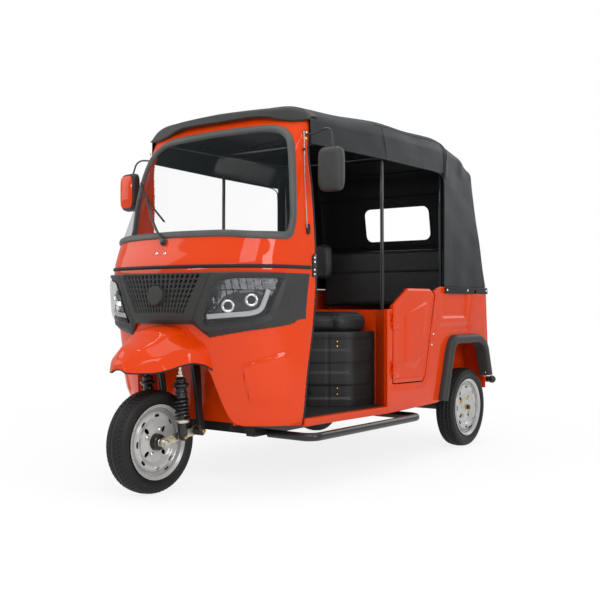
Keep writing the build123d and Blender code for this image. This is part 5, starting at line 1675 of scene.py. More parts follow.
# ------------------------------------------------------------------ wheels
@dataclass
class Wheel:
    """Tyre with cut tread and a pressed steel wheel with slots, nuts and hub."""

    name: str
    body: str
    x: float
    aft: float
    outward: int
    cap: Look
    slots: int = 8
    vents: int = 4
    pitches: int = 66
    tread_r: float = 221.0
    groove_depth: float = 6.0
    sipe_depth: float = 5.0

    def centre(self) -> Array:
        """Middle of the wheel."""
        return np.array((self.x, self.aft, TYRE_R))

    def around(self, angle: Array, w: Array, r: Array) -> Array:
        """Point at an angle, an offset w outwards along the axle and a radius r."""
        over, up = r * np.cos(angle), r * np.sin(angle)
        return stack(self.x + self.outward * w, self.aft + over, TYRE_R + up)

    def part(self, name: str, form: Form, look: Look, **finish: object) -> None:
        """Make one of the wheel's pieces, which turns with it."""
        piece(f"{self.name}_{name}", form, look, self.body, **finish)

    def nearest(self, angle: Array, count: int, r: Array, shift: float = 0.0) -> Array:
        """Length round the wheel to the nearest of a number of even places."""
        share = angle * count / (2 * math.pi) - shift
        return (share - np.round(share)) * 2 * math.pi / count * r

    def build(self) -> None:
        """Make every piece of the wheel."""
        self.make_tyre()
        self.make_rim()
        self.make_hub()

    def make_tyre(self) -> None:
        """Tyre turned from its section; over the tread the radius drops by grooves that run
        round it in a shallow zigzag and by sipes across its ribs."""
        section = [
            (42, 157), (43, 168), (50, 180), (55.5, 198), (53, 214), (46, 225), (30, 230.5),
            (0, 232.6),
        ]
        section = resample(fillet_line(section, 8, 4), 4.2)
        full = np.concatenate([section, (section * (-1, 1))[::-1][1:]])
        ang, w = np.meshgrid(full_turn(self.pitches * 5), full[:, 0], indexing="ij")
        r = np.broadcast_to(full[:, 1], w.shape).copy()
        beat = ang * self.pitches
        zig = 2.0 * np.sin(beat)
        tread = smooth((r - self.tread_r) / 5)
        groove = bump((np.abs(w) - 13 - zig) / 2.6) + bump((np.abs(w) - 33 + zig) / 2.6)
        slant = beat + np.abs(w) * 0.14
        sipe = bump((np.mod(slant, 2 * math.pi) - math.pi) / 0.75) * smooth((np.abs(w) - 4) / 8)
        sipe = sipe * smooth((54 - np.abs(w)) / 6)
        r -= tread * (self.groove_depth * np.minimum(groove, 1) + self.sipe_depth * sipe)
        band = bump((r - 190) / 3) * 0.8 + bump((r - 206) / 2) * 0.6
        w = w + np.sign(w) * band * (np.abs(w) > 45)
        form = Form.grid(self.around(ang, w, r), wrap_u=True)
        node = f"{self.name}_tyre"
        self.part("tyre_tread", form, Look.TYRE, replaces=[node], slot="tyre", closed=True, sharp=55)

    def make_rim(self) -> None:
        """Barrel turned from a closed profile, and a dished disc with slots cut near its edge
        and round vents nearer the hub."""
        barrel = [
            (50, 168), (46.5, 168.5), (43.5, 165), (41, 158), (37, 156.5), (20, 156), (15, 144),
            (-8, 144), (-14, 156), (-37, 156.5), (-41, 158), (-43.5, 165), (-46.5, 168.5), (-50, 168),
            (-49, 164.5), (-45, 160), (-42, 153), (-18, 152), (-10, 140), (16, 140), (22, 152),
            (42, 153), (45, 160), (49, 164.5),
        ]
        ring = fillet_line(barrel, 2.2, 3, closed=True)
        ang, w = np.meshgrid(full_turn(96), ring[:, 0], indexing="ij")
        hoop = self.around(ang, w, np.broadcast_to(ring[:, 1], w.shape))
        hoop = Form.grid(hoop, wrap_u=True, wrap_v=True)
        dish = [
            (12, 143), (14, 138), (33, 127), (35, 112), (24, 98), (19, 88), (22, 60), (27, 46),
            (27, 30),
        ]
        dish = resample(fillet_line(dish, 7, 5), 3.0)
        ang, w = np.meshgrid(np.append(full_turn(160), 2 * math.pi), dish[:, 0], indexing="ij")
        r = np.broadcast_to(dish[:, 1], w.shape)
        past_end = np.maximum(np.abs(self.nearest(ang, self.slots, r)) - 10, 0)
        slot = np.hypot(past_end, r - 118) - 5.5
        vent = np.hypot(self.nearest(ang, self.vents, r, 0.5), (r - 72) * 0.62) - 10.0
        disc = Form.clipped(self.around(ang, w, r), np.minimum(slot, vent))
        if self.outward > 0:
            disc = disc.turned_out()
        self.part("wheel_disc", disc, Look.WHEEL_SILVER, slot="wheel_paint", wall=4.5, sharp=50)
        self.part(
            "wheel_hoop", hoop, Look.WHEEL_SILVER,
            replaces=[f"{self.name}_rim"], slot="wheel_paint", closed=True, sharp=40,
        )

    def make_hub(self) -> None:
        """Hub, brake drum, four nuts, grease cap or axle nut, and the valve."""
        front = self.name == "front"
        axis, centre = (self.outward, 0, 0), self.centre()
        reach, radii = (60, (29, 36, 37, 40, 42)) if front else (36, (24, 30, 33, 38, 41))
        ends = zip(radii, (reach, reach - 4, reach - 14, 26, 18))
        hub = fillet_line([(0, reach), *ends, (radii[-1], -46), (0, -46)], 3, 3)
        look = Look.BLACK_PAINT if front else Look.WHEEL_SILVER
        hub = Form.turned(hub, centre, axis, 40)
        self.part("hub", hub, look, slot="black_paint", closed=True, sharp=40)
        drum = fillet_line([(30, -6), (96, -6), (124, -3), (128, -9), (128, -38), (30, -38)], 3, 3)
        drum = Form.turned(drum, centre, axis, 48, closed=True)
        self.part("drum", drum, Look.BLACK_PAINT, closed=True, sharp=40)
        nuts = []
        for angle in full_turn(4) + math.pi / 4 + (0.35 if front else 0.2):
            spot = self.around(angle, 19.0, 57.0)
            nuts.append(Form.turned([(0, 20), (5, 19), (6, 16)], spot, axis, 12))
            nuts.append(Form.turned([(6, 16), (10.5, 14), (11, 6), (13, 2), (13, 0)], spot, axis, 6))
        self.part("wheel_nuts", Form.joined(nuts), Look.ZINC if front else Look.GOLD, sharp=25)
        tall = 0.45 if front else 1.0
        cap = [(r, reach + tall * h) for r, h in ((0, 22), (7, 21), (8, 10), (16, 9), (18, 4), (18, -1))]
        cap = Form.turned(cap, centre, axis, 24 if front else 6)
        self.part("axle_nut", cap, self.cap, sharp=30)
        stem = [self.around(-1.1, w, r) for w, r in ((20.0, 150.0), (36.0, 140.0), (46.0, 132.0))]
        self.part("valve", Form.tube(stem, 3.4, 8), Look.RUBBER)


# ------------------------------------------------------------------ lower body
@dataclass
class Body:
    """Pressed side panels, doors, arch flares, tail and running gear."""

    half: float = 597.0
    thick: float = 22.0
    door: Sequence = (
        (1122, 442), (1126, 846), (1273, 930), (1515, 930), (1575, 900), (1467, 468), (1436, 434),
    )
    arch: Sequence = ((1664, 306), (1752, 590), (1788, 620), (2094, 617), (2160, 580), (2214, 412))
    flare: Sequence = ((1614, 312), (1711, 626), (1770, 672), (2107, 667), (2201, 616), (2266, 419))
    panel: Sequence = (
        (1065, 292), (1065, 822), (1145, 822), (1290, 922), (1540, 912), (1590, 926), (1640, 944),
        (2266, 944), (2310, 420), (2256, 404), (1600, 300),
    )
    sunk: Sequence = ((1663, 770), (1963, 770), (1990, 990), (1655, 990))
    channel: Sequence = ((1640, 693), (2014, 690), (2022, 733), (1640, 733))
    door_field: Sequence = (
        (1238, 535), (1241, 788), (1272, 804), (1469, 857), (1492, 846), (1412, 556), (1340, 512),
    )
    hinges: Sequence = (503.0, 755.0)

    def build(self) -> None:
        """Make every piece of the lower body."""
        self.make_panels()
        self.make_doors()
        self.make_flares()
        self.make_tail()
        self.dress_frame()

    def relief(self, a: Array, z: Array) -> Array:
        """Height of the quarter panel's pressings: a sunk field with a rounded border, a
        lower channel, a long leaning crease and a ridge beside the door.

        Args:
            a: Aft places.
            z: Heights.

        Returns:
            Heights over the flat side.
        """
        height = -9.0 * smooth(rounded_distance(a, z, self.sunk, 22) / 20 + 0.4)
        height += -6.0 * smooth(rounded_distance(a, z, self.channel, 16) / 12 + 0.3)
        crease = (a - 1980) - (z - 681) * 0.3165
        low_end = smooth((z - 655) / 50)
        height += 5.0 * smooth((crease + 14) / 22) * (1 - smooth((crease - 40) / 200)) * low_end
        ridge = (a - 1549) - (z - 713) * 0.157
        height += 4.0 * bump(ridge / 12) * smooth((z - 700) / 40)
        return height

    def side(self, a: Array, z: Array, height: Array) -> Array:
        """Point of the left side: flat, then turning in towards the tail as a quarter arc."""
        turn = 62.0
        inwards = quarter(a - (tail_at(z) - 20.0 - turn), turn)
        return np.stack([self.half - inwards * 0.75 + height, a, z], -1)

    def make_panels(self) -> None:
        """Side panels with the door opening and wheel arch."""
        a, z = axes(1062, 2314, 290, 946, 9.0)
        outline = polygon_distance(a, z, self.panel)
        hole = -rounded_distance(a, z, inset(self.door, -6), 14)
        above = np.where((a > 1200) & (a < 1566), 922 - z, 100)
        arch = -rounded_distance(a, z, [(1632, 200), *self.arch, (2290, 200)], 16)
        keep = np.minimum.reduce([outline, hole, arch, np.maximum(above, hole)])
        edge = 3.0 * (1 - smooth(np.minimum.reduce([outline, hole, arch]) / 7))
        step = 3.0 * bump((hole - 16) / 7) * (a < 1640)
        body = self.side(a, z, self.relief(a, z) - edge - step * 0.6)
        piece(
            "quarter_panels", Form.clipped(body, keep).both(), Look.ORANGE,
            wall=self.thick, replaces=["side_panels"], slot="body_paint",
        )

    def make_doors(self) -> None:
        """Half doors with a raised field and a bead inside their edge."""
        a, z = axes(1112, 1580, 426, 936, 7.5)
        edge = rounded_distance(a, z, self.door, 12)
        raised = rounded_distance(a, z, self.door_field, 12)
        height = 6.0 * smooth(raised / 14 + 0.2) - 3.5 * (1 - smooth(edge / 6))
        height += 2.2 * bump((edge - 16) / 6)
        form = Form.clipped(np.stack([self.half + height, a, z], -1), edge)
        for side in ("left", "right"):
            piece(
                f"door_skin_{side}", form.on(side), Look.ORANGE, f"door_{side}_body",
                wall=self.thick - 2, replaces=[f"door_{side}"], slot="body_paint",
            )
        self.make_hinges()

    def make_hinges(self) -> None:
        """Hinge leaves with their barrels and screws, which swing, and the latch bolts."""
        leaves, heads = [], []
        for mid in self.hinges:
            plate = [(1112, mid - 39), (1172, mid - 34), (1172, mid + 34), (1112, mid + 39)]
            leaves.append(Form.side_plate(plate, 8, self.half + 6.5, 6, 4))
            barrel = [(0, 17), (7, 17), (7, -17), (0, -17)]
            leaves.append(Form.turned(barrel, (self.half + 7, 1112, mid), (0, 0, 1), 20))
            for dx, dz in ((0, 18), (0, -18), (18, 0)):
                heads.append((self.half + 6.5, 1140.0 + dx, mid + dz))
        leaves, screws = Form.joined(leaves), bolt_heads(heads, LEFT, 4.5, 2.5)
        for side in ("left", "right"):
            body = f"door_{side}_body"
            piece(
                f"hinge_leaves_{side}", leaves.on(side), Look.ORANGE, body,
                slot="body_paint", closed=True, bevel=1.0,
            )
            piece(f"hinge_screws_{side}", screws.on(side), Look.ORANGE, body)
        spots = [(self.half, 1559.0, 682.0), (self.half, 1541.0, 623.0)]
        piece("latch_bolts", bolt_heads(spots, LEFT, 6.0, 4.0).both(), Look.CHROME)
        dress("door_hinges", Look.ORANGE)

    def make_flares(self) -> None:
        """Arch flares lofted between their outer line and the arch. Across each station the
        section rises from the panel, rounds over, runs level and turns in at the wheel."""
        wide = 60.0
        pairs = np.hstack([np.array(self.flare, float), np.array(self.arch, float)])
        line = resample(fillet_line(pairs, 60, 8), 14)
        outer, inner = line[:, None, :2], line[:, None, 2:]
        section = [
            (0, -2), (0, 17), (0.05, 30), (0.17, 38), (0.42, 42), (0.78, 42), (0.94, 38), (1.0, 28),
            (1.0, -30),
        ]
        section = resample(fillet_line([(w * wide, h) for w, h in section], 5, 4), 4.0)
        share, height = section[:, 0] / wide, section[:, 1]
        flat = outer + (inner - outer) * share[None, :, None]
        x = np.broadcast_to(self.half + height, flat.shape[:2])
        grid = np.stack([x, flat[..., 0], flat[..., 1]], -1)
        piece(
            "arch_flares", Form.grid(grid).turned_out().both(), Look.GREY_PLASTIC,
            replaces=["wheel_flares"], slot="grey_plastic", wall=5, sharp=50,
        )
        heads = [(self.half + 12, a, z) for a, z in ((2180, 530), (2196, 480), (2209, 430))]
        piece("flare_screws", bolt_heads(heads, (0, -0.95, -0.3), 5, 3).both(), Look.CHROME)

    def make_tail(self) -> None:
        """Tail panel with a pressed field and quarter-round sides."""
        x, z = axes(-582, 582, 420, 944, 12.0)
        pressed = [(-400, 500), (400, 500), (400, 880), (-400, 880)]
        turn = 46.0
        rounded = quarter(turn - (588 - np.abs(x)), turn)
        a = tail_at(z) - rounded * 0.6 - 6.0 * smooth(rounded_distance(x, z, pressed, 40) / 18)
        skin = Form.grid(np.stack([x, a, z], -1)).turned_out()
        piece(
            "tail_skin", skin, Look.ORANGE,
            wall=14, replaces=["tail_panel"], slot="body_paint", sharp=50,
        )
        self.make_tail_lamps()

    def make_tail_lamps(self) -> None:
        """Combination lamps: three domed lenses, fluted by a sine, on a dark base. A lens
        rises from its edge as a quarter ellipse."""
        parts = (
            ("base", 560, 740, Look.BLACK_PAINT), ("clear", 564, 618, Look.CLEAR_LENS),
            ("red", 622, 678, Look.RED_LENS), ("amber", 682, 736, Look.AMBER_LENS),
        )
        stand_off, round_off = 13.0, 9.0
        for name, low, high, look in parts:
            lens = name != "base"
            left, right = (474, 556) if lens else (470, 560)
            x, z = axes(468, 562, low - 2, high + 2, 3.0)
            corners = [(left, low), (right, low), (right, high), (left, high)]
            edge = rounded_distance(x, z, corners, round_off)
            dome = np.sqrt(1 - (1 - np.clip(edge / round_off, 0, 1)) ** 2)
            height = stand_off + lens * (12.0 * dome + 0.5 * np.sin(x * 0.9))
            form = Form.clipped(np.stack([x, tail_at(z) + height, z], -1), edge).turned_out()
            piece(
                f"tail_lamp_{name}", form.both(), look,
                wall=0 if lens else stand_off, replaces=[] if lens else ["tail_lamps"], slot="tail_red",
            )

    def dress_frame(self) -> None:
        """Finish the CAD nodes that keep their shapes."""
        for name in (
            "chassis_frame", "step_bars", "rear_bumper", "rear_axle", "motor", "leaf_springs",
            "canopy_frame", "battery_box", "passenger_seat_base",
        ):
            dress(name, Look.BLACK_PAINT)
        for name in ("sills", "bulkhead", "wheel_houses"):
            dress(name, Look.ORANGE)
        dress("floor_pan", Look.MAT)


# ------------------------------------------------------------------ canopy
@dataclass
class Canopy:
    """Cloth top over hoops: roof, valances, closed quarters and sloping back in one sheet.

    Its cut size in metres, which nothing here uses, is the length from hem to hem over the
    rear hoop, and the length along the crown from the front edge to the rear hem.
    """

    valance: float = 1578.0
    hem: float = 946.0
    quarter: float = 1697.0
    cut: tuple[float, float] = (2.80, 2.37)
    side_steps: int = 28
    inside: tuple[float, float, float] = (0.0, 1500.0, 1300.0)
    window_plan: Sequence = ((-239, 1255), (239, 1255), (239, 1467), (-239, 1467))
    welted: Sequence = (
        (512, 1592), (1090, 1588), (1630, 1584), (1694, 1565), (1697, 1480), (1697, 950),
    )
    spine: Sequence = (
        (508, 1784), (1090, 1812), (1680, 1815), (1724, 1804), (1894, 1745), (1990, 1700),
        (2110, 1655), (2150, 1600), (2168, 1526), (2266, 946),
    )
    shoulder: Sequence = (
        (516, 508, 1692), (566, 1090, 1700), (588, 1680, 1700), (590, 1722, 1688), (580, 1894, 1684),
        (573, 1983, 1650), (570, 2070, 1622), (566, 2098, 1585), (565, 2114, 1520), (593, 2246, 946),
    )
    hoops: Sequence = (508.0, 1107.0, 1712.0)
    roof_bows: Sequence = (700, 905, 1310, 1510, 1894, 2040)
    back_bows: Sequence = (1530, 1218, 1040)

    def rails(self) -> Array:
        """Spine and shoulder side by side as one line of six numbers, with round corners."""
        spine = np.array([(0.0, a, z) for a, z in self.spine])
        return resample(fillet_line(np.hstack([spine, np.array(self.shoulder, float)]), 60, 8), 18.0)

    def sheet(self, drop: float = 0.0) -> Array:
        """Grid of the whole sheet. Each station runs from the left hem to the shoulder, over
        the crown and down the other side. Over the crown the share of the way from the
        shoulder to the spine is (1 - (x / half)^8)^0.6.

        Args:
            drop: Distance inside the outer face.

        Returns:
            Grid of points: stations by positions across.
        """
        spine, eave = np.hsplit(self.rails(), 2)
        roof = eave[:, 1] <= self.quarter
        past = np.cumsum(np.where(roof, 0.0, 1.0))
        past = past / past[-1]
        ends = (self.hoops[0], self.quarter)
        low_edge = np.interp(eave[:, 1], ends, (self.valance + 14, self.valance + 6))
        foot_z = low_edge + (self.hem - low_edge) * past**0.85
        foot_a = np.where(roof, eave[:, 1], self.quarter)
        foot_x = np.where(roof, eave[:, 0] + 2, 592 + 3 * past)
        foot = np.stack([foot_x, foot_a, foot_z], 1)
        wall = np.linspace(0, 1, self.side_steps + 1)[:-1]
        side = foot[:, None] + (eave - foot)[:, None] * wall[None, :, None]
        across = np.sin(np.linspace(1, -1, 91) * math.pi / 2)
        rise = np.maximum(1 - np.abs(across) ** 8, 0) ** 0.6
        top = eave[:, None] + (spine - eave)[:, None] * rise[None, :, None]
        top[..., 0] = eave[:, None, 0] * across[None, :]
        grid = np.concatenate([side, top, side[:, ::-1] * (-1, 1, 1)], 1)
        if drop:
            grid = grid - self.outward(grid) * drop
        return grid

    def outward(self, grid: Array) -> Array:
        """Unit normals of a sheet, all on the side away from the cabin."""
        normal = surface_normals(grid)
        away = np.sum(normal * (grid - np.array(self.inside)), axis=-1, keepdims=True)
        return normal * np.where(away < 0, -1.0, 1.0)

    def build(self) -> None:
        """Make the sheet, its lining, piping and hem."""
        grid, inner = self.billow(self.sheet()), self.sheet(9.0)
        cloth = Form.clipped(grid, self.window(grid))
        cloth = piece(
            "canopy_sheet", cloth, Look.CANOPY, replaces=["canopy"], slot="vinyl", sharp=70
        )
        self.orient(cloth)
        lining = Form.clipped(inner, self.window(inner))
        lining = piece("canopy_lining_sheet", lining, Look.LINING, slot="vinyl", sharp=70)
        self.orient(lining, inward=True)
        self.make_piping(grid)
        self.make_lining_seams()
        self.make_hem()

    def orient(self, obj: bpy.types.Object, inward: bool = False) -> None:
        """Turn a sheet's faces away from the cabin, or towards it.

        Args:
            obj: The sheet.
            inward: Whether they should look into the cabin.
        """
        mesh = obj.data
        normals = np.empty(len(mesh.polygons) * 3, np.float32)
        mesh.polygons.foreach_get("normal", normals)
        centres = np.empty(len(mesh.polygons) * 3, np.float32)
        mesh.polygons.foreach_get("center", centres)
        middle = model(np.array(self.inside))
        facing = np.sum(normals.reshape(-1, 3) * (centres.reshape(-1, 3) - middle), axis=1).mean()
        if (facing < 0) != inward:
            mesh.flip_normals()

    def window(self, grid: Array) -> Array:
        """Distance outside the rear window."""
        x, a, z = np.moveaxis(grid, -1, 0)
        return np.where(a > 1950, -rounded_distance(x, z, self.window_plan, 42), UNCUT)

    def billow(self, grid: Array) -> Array:
        """Let the cloth sink between its hoops by sin^2, stand on the rear bows as ridges,
        and ripple by a few millimetres.

        Args:
            grid: Points of the taut sheet.

        Returns:
            The moved points.
        """
        x, a, z = np.moveaxis(grid, -1, 0)
        roof = smooth((z - 1700) / 50) * (a < self.quarter + 30)
        first, middle, last = self.hoops
        ahead, behind = (a - first) / (middle - first), (a - middle) / (last - middle)
        share = np.where(a < middle, ahead, behind)
        height = -6.0 * np.sin(np.clip(share, 0, 1) * math.pi) ** 2 * roof
        high = smooth((z - 1560) / 90)
        height += 7.0 * bump((a - 1938) / 42) * high * (a > 1780)
        height += 6.0 * bump((a - 2088) / 26) * high
        height += 3.0 * bump((a - 1725) / 16) * (z > 1560)
        ripple = 1.3 * np.sin(a / 47 + z / 90) * np.sin(z / 61 + x / 120)
        fold = 2.2 * np.sin((a - 1700) / 36 + (1500 - z) / 210)
        fold = fold * smooth((a - 1740) / 80) * smooth((1400 - z) / 300)
        height += (ripple + fold) * smooth((np.abs(x) - 480) / 60)
        return grid + self.outward(grid) * height[..., None]

    def eave_x(self, a: Array) -> Array:
        """Half width of the roof's shoulder at an aft place."""
        eaves = np.array(self.shoulder[:4], float)
        return np.interp(a, eaves[:, 1], eaves[:, 0])

    def welt(self, name: str, line: Array, radius: float = 2.6) -> None:
        """Sewn welt along a line of the sheet."""
        piece(name, Form.tube(resample(line, 18), radius, 8), Look.CANOPY, slot="vinyl")

    def make_piping(self, grid: Array) -> None:
        """Welts along both shoulders, over the rear hoop and round each side opening, and a
        seam in each valance.

        Args:
            grid: Points of the sheet.
        """
        n = grid.shape[1]
        eave = self.side_steps + 1
        for k, columns in enumerate(((eave + 9, eave + 13), (n - 10 - eave, n - 14 - eave))):
            for j, column in enumerate(columns):
                line = grid[:, column]
                line = line[(line[:, 1] > 1040) & (line[:, 1] < 1706)]
                self.welt(f"shoulder_welt_{k}_{j}", line)
        station = int(np.argmin(np.abs(grid[:, n // 2, 1] - 1700)))
        for j, row in enumerate((station, station + 2)):
            self.welt(f"hoop_welt_{j}", grid[row, 1:-1], 3.4)
        corners = [(0.0, a, z) for a, z in self.welted[::-1]]
        line = resample(fillet_line(corners, 70, 8), 16)
        line[:, 0] = np.where(line[:, 1] > 1690, 593, self.eave_x(line[:, 1]) + 3)
        piece("opening_welt", Form.tube(line, 3.6, 8).both(), Look.CANOPY, slot="vinyl")
        t = np.linspace(0, 1, 16)
        a, z = 1050 + 62 * t**0.6, 1750 - 168 * t
        seam = np.stack([self.eave_x(a) + 1.5, a, z], 1)
        piece("valance_seam", Form.tube(seam, 1.5, 6).both(), Look.CANOPY, slot="vinyl")

    def make_lining_seams(self) -> None:
        """Stitched pockets of the bows, across the lining of the roof and of the back."""
        inner = self.sheet(13.0)
        a, z = inner[:, inner.shape[1] // 2, 1:].T
        gaps = [np.abs(a - place) for place in self.roof_bows]
        gaps += [np.abs(z - height) + 900 * (a < 2000) for height in self.back_bows]
        rows = [inner[int(np.argmin(gap)), 30:-30] for gap in gaps]
        bows = Form.joined([Form.tube(resample(row, 22), 4.0, 8) for row in rows])
        piece("lining_bows", bows, Look.LINING, slot="vinyl")

    def make_hem(self) -> None:
        """Retaining strip with rivets along the foot of each quarter."""
        strip = [(1703, 906), (2258, 906), (2254, 944), (1703, 944)]
        form = Form.side_plate(strip, 5, 602, 5)
        piece("hem_band", form.both(), Look.RUBBER, replaces=["hem_strip"], slot="rubber", bevel=1.0)
        heads = [(602.0, a, 926.0) for a in (1718, 1980, 2236)]
        piece("hem_rivets", bolt_heads(heads, LEFT, 7, 4).both(), Look.CHROME)


# ------------------------------------------------------------------ studio
@dataclass
class Studio:
    """Pale floor, soft lamps, world and camera."""

    place: tuple[float, float, float] = (2.8964, -3.8991, 0.8574)
    yaw: float = 36.30
    pitch: float = 0.14
    lens: float = 53.17
    sensor: float = 36.0
    ambient: float = 0.48
    shine: float = 0.20
    floor_half: float = 40.0
    aim: tuple[float, float, float] = (0.0, 0.0, 0.7)

    def build(self) -> None:
        """Make the surroundings."""
        self.make_world()
        self.make_floor()
        self.make_lamps()
        self.make_camera()
        bpy.context.scene.view_settings.view_transform = "Standard"

    def make_world(self) -> None:
        """White where the camera or glass sees it, part white in a mirror, softer as a light."""
        world = bpy.data.worlds.new("studio")
        bpy.context.scene.world = world
        b = Board(world, "ShaderNodeOutputWorld")
        share = b.ray("Camera").or_more(b.ray("Transmission")).or_more(b.ray("Glossy") * self.shine)
        soft, white = (
            b.node("ShaderNodeBackground", {}, {0: (1, 1, 1, 1), 1: power})
            for power in (self.ambient, 1.0)
        )
        b.close(b.node("ShaderNodeMixShader", {}, {0: share, 1: soft, 2: white}))

    def make_floor(self) -> None:
        """Wide pale floor that keeps the shadow and turns white with the distance."""
        b = Board.material("studio_floor")
        base = b.blend(b.noise(0.7, 2.0), (0.93, 0.93, 0.93), (0.97, 0.97, 0.97))
        diffuse = b.shade(Base_Color=base, Roughness=0.9, Specular_IOR_Level=0.1)
        glow = b.node("ShaderNodeEmission", {}, {"Color": (1, 1, 1, 1), "Strength": 1.0})
        far = b.node("ShaderNodeVectorMath", {"operation": "LENGTH"}, {0: b.place()}, "Value")
        away = ((far - 1.5) * 0.45).clamp()
        seen = b.ray("Camera") + b.ray("Transmission")
        share = seen * (0.84 + 0.16 * away) + b.ray("Glossy") * 0.3
        mixed = b.node("ShaderNodeMixShader", {}, {0: share.clamp(), 1: diffuse, 2: glow})
        reach = np.linspace(-self.floor_half, self.floor_half, 3)
        x, y = np.meshgrid(reach, reach, indexing="ij")
        form = Form.grid(np.stack([x, y, np.zeros_like(x)], -1))
        mesh = bpy.data.meshes.new("floor")
        mesh.from_pydata(form.points.tolist(), [], form.faces[0].tolist())
        mesh.materials.append(b.close(mixed))
        floor = bpy.data.objects.new("floor", mesh)
        bpy.context.scene.collection.objects.link(floor)

    def make_lamps(self) -> None:
        """Large soft lamps above and to the front."""
        for name, at, size, power in (
            ("key", (3.5, -4.5, 4.6), (3.2, 3.2), 120.0),
            ("fill", (-4.5, -3.0, 3.0), (3.4, 3.4), 62.0),
            ("top", (0.4, 0.6, 5.2), (4.0, 4.0), 85.0),
            ("rear", (2.0, 5.0, 3.4), (3.0, 3.0), 55.0),
            ("side", (4.8, -1.6, 2.2), (1.6, 1.6), 65.0),
            ("strip_near", (-0.8, -2.2, 4.2), (2.8, 0.16), 14.0),
            ("strip_far", (-0.8, -0.9, 4.4), (2.8, 0.16), 14.0),
            ("strip_low", (-1.2, -6.2, 2.3), (3.0, 0.14), 14.0),
            ("strip_high", (0.6, -6.6, 3.1), (3.0, 0.14), 14.0),
        ):
            lamp = bpy.data.lights.new(name, "AREA")
            lamp.shape, lamp.energy = "RECTANGLE", power
            lamp.size, lamp.size_y = size
            obj = bpy.data.objects.new(name, lamp)
            obj.location = at
            look = Vector(self.aim) - Vector(at)
            obj.rotation_euler = look.to_track_quat("-Z", "Y").to_euler()
            bpy.context.scene.collection.objects.link(obj)

    def make_camera(self) -> None:
        """Camera at the chosen place, looking along its yaw and pitch."""
        data = bpy.data.cameras.new("camera")
        data.lens, data.sensor_width = self.lens, self.sensor
        camera = bpy.data.objects.new("camera", data)
        camera.location = self.place
        a, e = math.radians(self.yaw), math.radians(self.pitch)
        look = Vector((-math.sin(a) * math.cos(e), math.cos(a) * math.cos(e), math.sin(e)))
        camera.rotation_euler = look.to_track_quat("-Z", "Y").to_euler()
        bpy.context.scene.collection.objects.link(camera)
        bpy.context.scene.camera = camera


# ------------------------------------------------------------------ seats
@dataclass(frozen=True)
class Pad:
    """Stuffed pad: an outline on two axes, and two faces along the third."""

    name: str
    outline: Sequence
    low: float
    high: float
    upright: bool
    corner: float
    edge: float
    voxel: float
    fill: float
    lines: Sequence = ()
    rows: Sequence = ()
    nodes: Sequence = ()

    def place(self, flat: Array, depth: Array) -> Array:
        """Points from outline coordinates and a place along the thickness."""
        u, v = np.moveaxis(flat, -1, 0)
        return np.stack((u, depth, v) if self.upright else (u, v, depth), -1)

    def form(self) -> Form:
        """Closed pad. Rings shrink from the outline to its middle; the half thickness at a
        distance d from the outline is h * sqrt(1 - (1 - d / edge)^2).

        Returns:
            The pad before its skin is remade.
        """
        rim = resample(fillet_line(self.outline, self.corner, 8, closed=True), 14.0, closed=True)
        middle = rim.mean(0)
        share = 1 - np.linspace(0, 1, 34)[:, None, None] ** 1.4
        flat = middle + (rim - middle)[None] * share
        deep = polygon_distance(flat[..., 0], flat[..., 1], rim)
        deep[0] = 0.0
        t = np.clip(deep / self.edge, 0, 1)
        half = (self.high - self.low) / 2 * np.sqrt(1 - (1 - t) ** 2)
        mid = (self.high + self.low) / 2
        faces = [Form.grid(self.place(flat, mid + sign * half), wrap_v=True) for sign in (1, -1)]
        return faces[0] + faces[1].turned_out()


def vertices_of(mesh: bpy.types.Mesh, attribute: str = "co") -> Array:
    """Coordinates or normals of a mesh's vertices."""
    out = np.empty(len(mesh.vertices) * 3, np.float32)
    mesh.vertices.foreach_get(attribute, out)
    return out.reshape(-1, 3).astype(float)


def put_vertices(mesh: bpy.types.Mesh, points: Array) -> None:
    """Move a mesh's vertices to new points."""
    mesh.vertices.foreach_set("co", points.astype(np.float32).ravel())
    mesh.update()


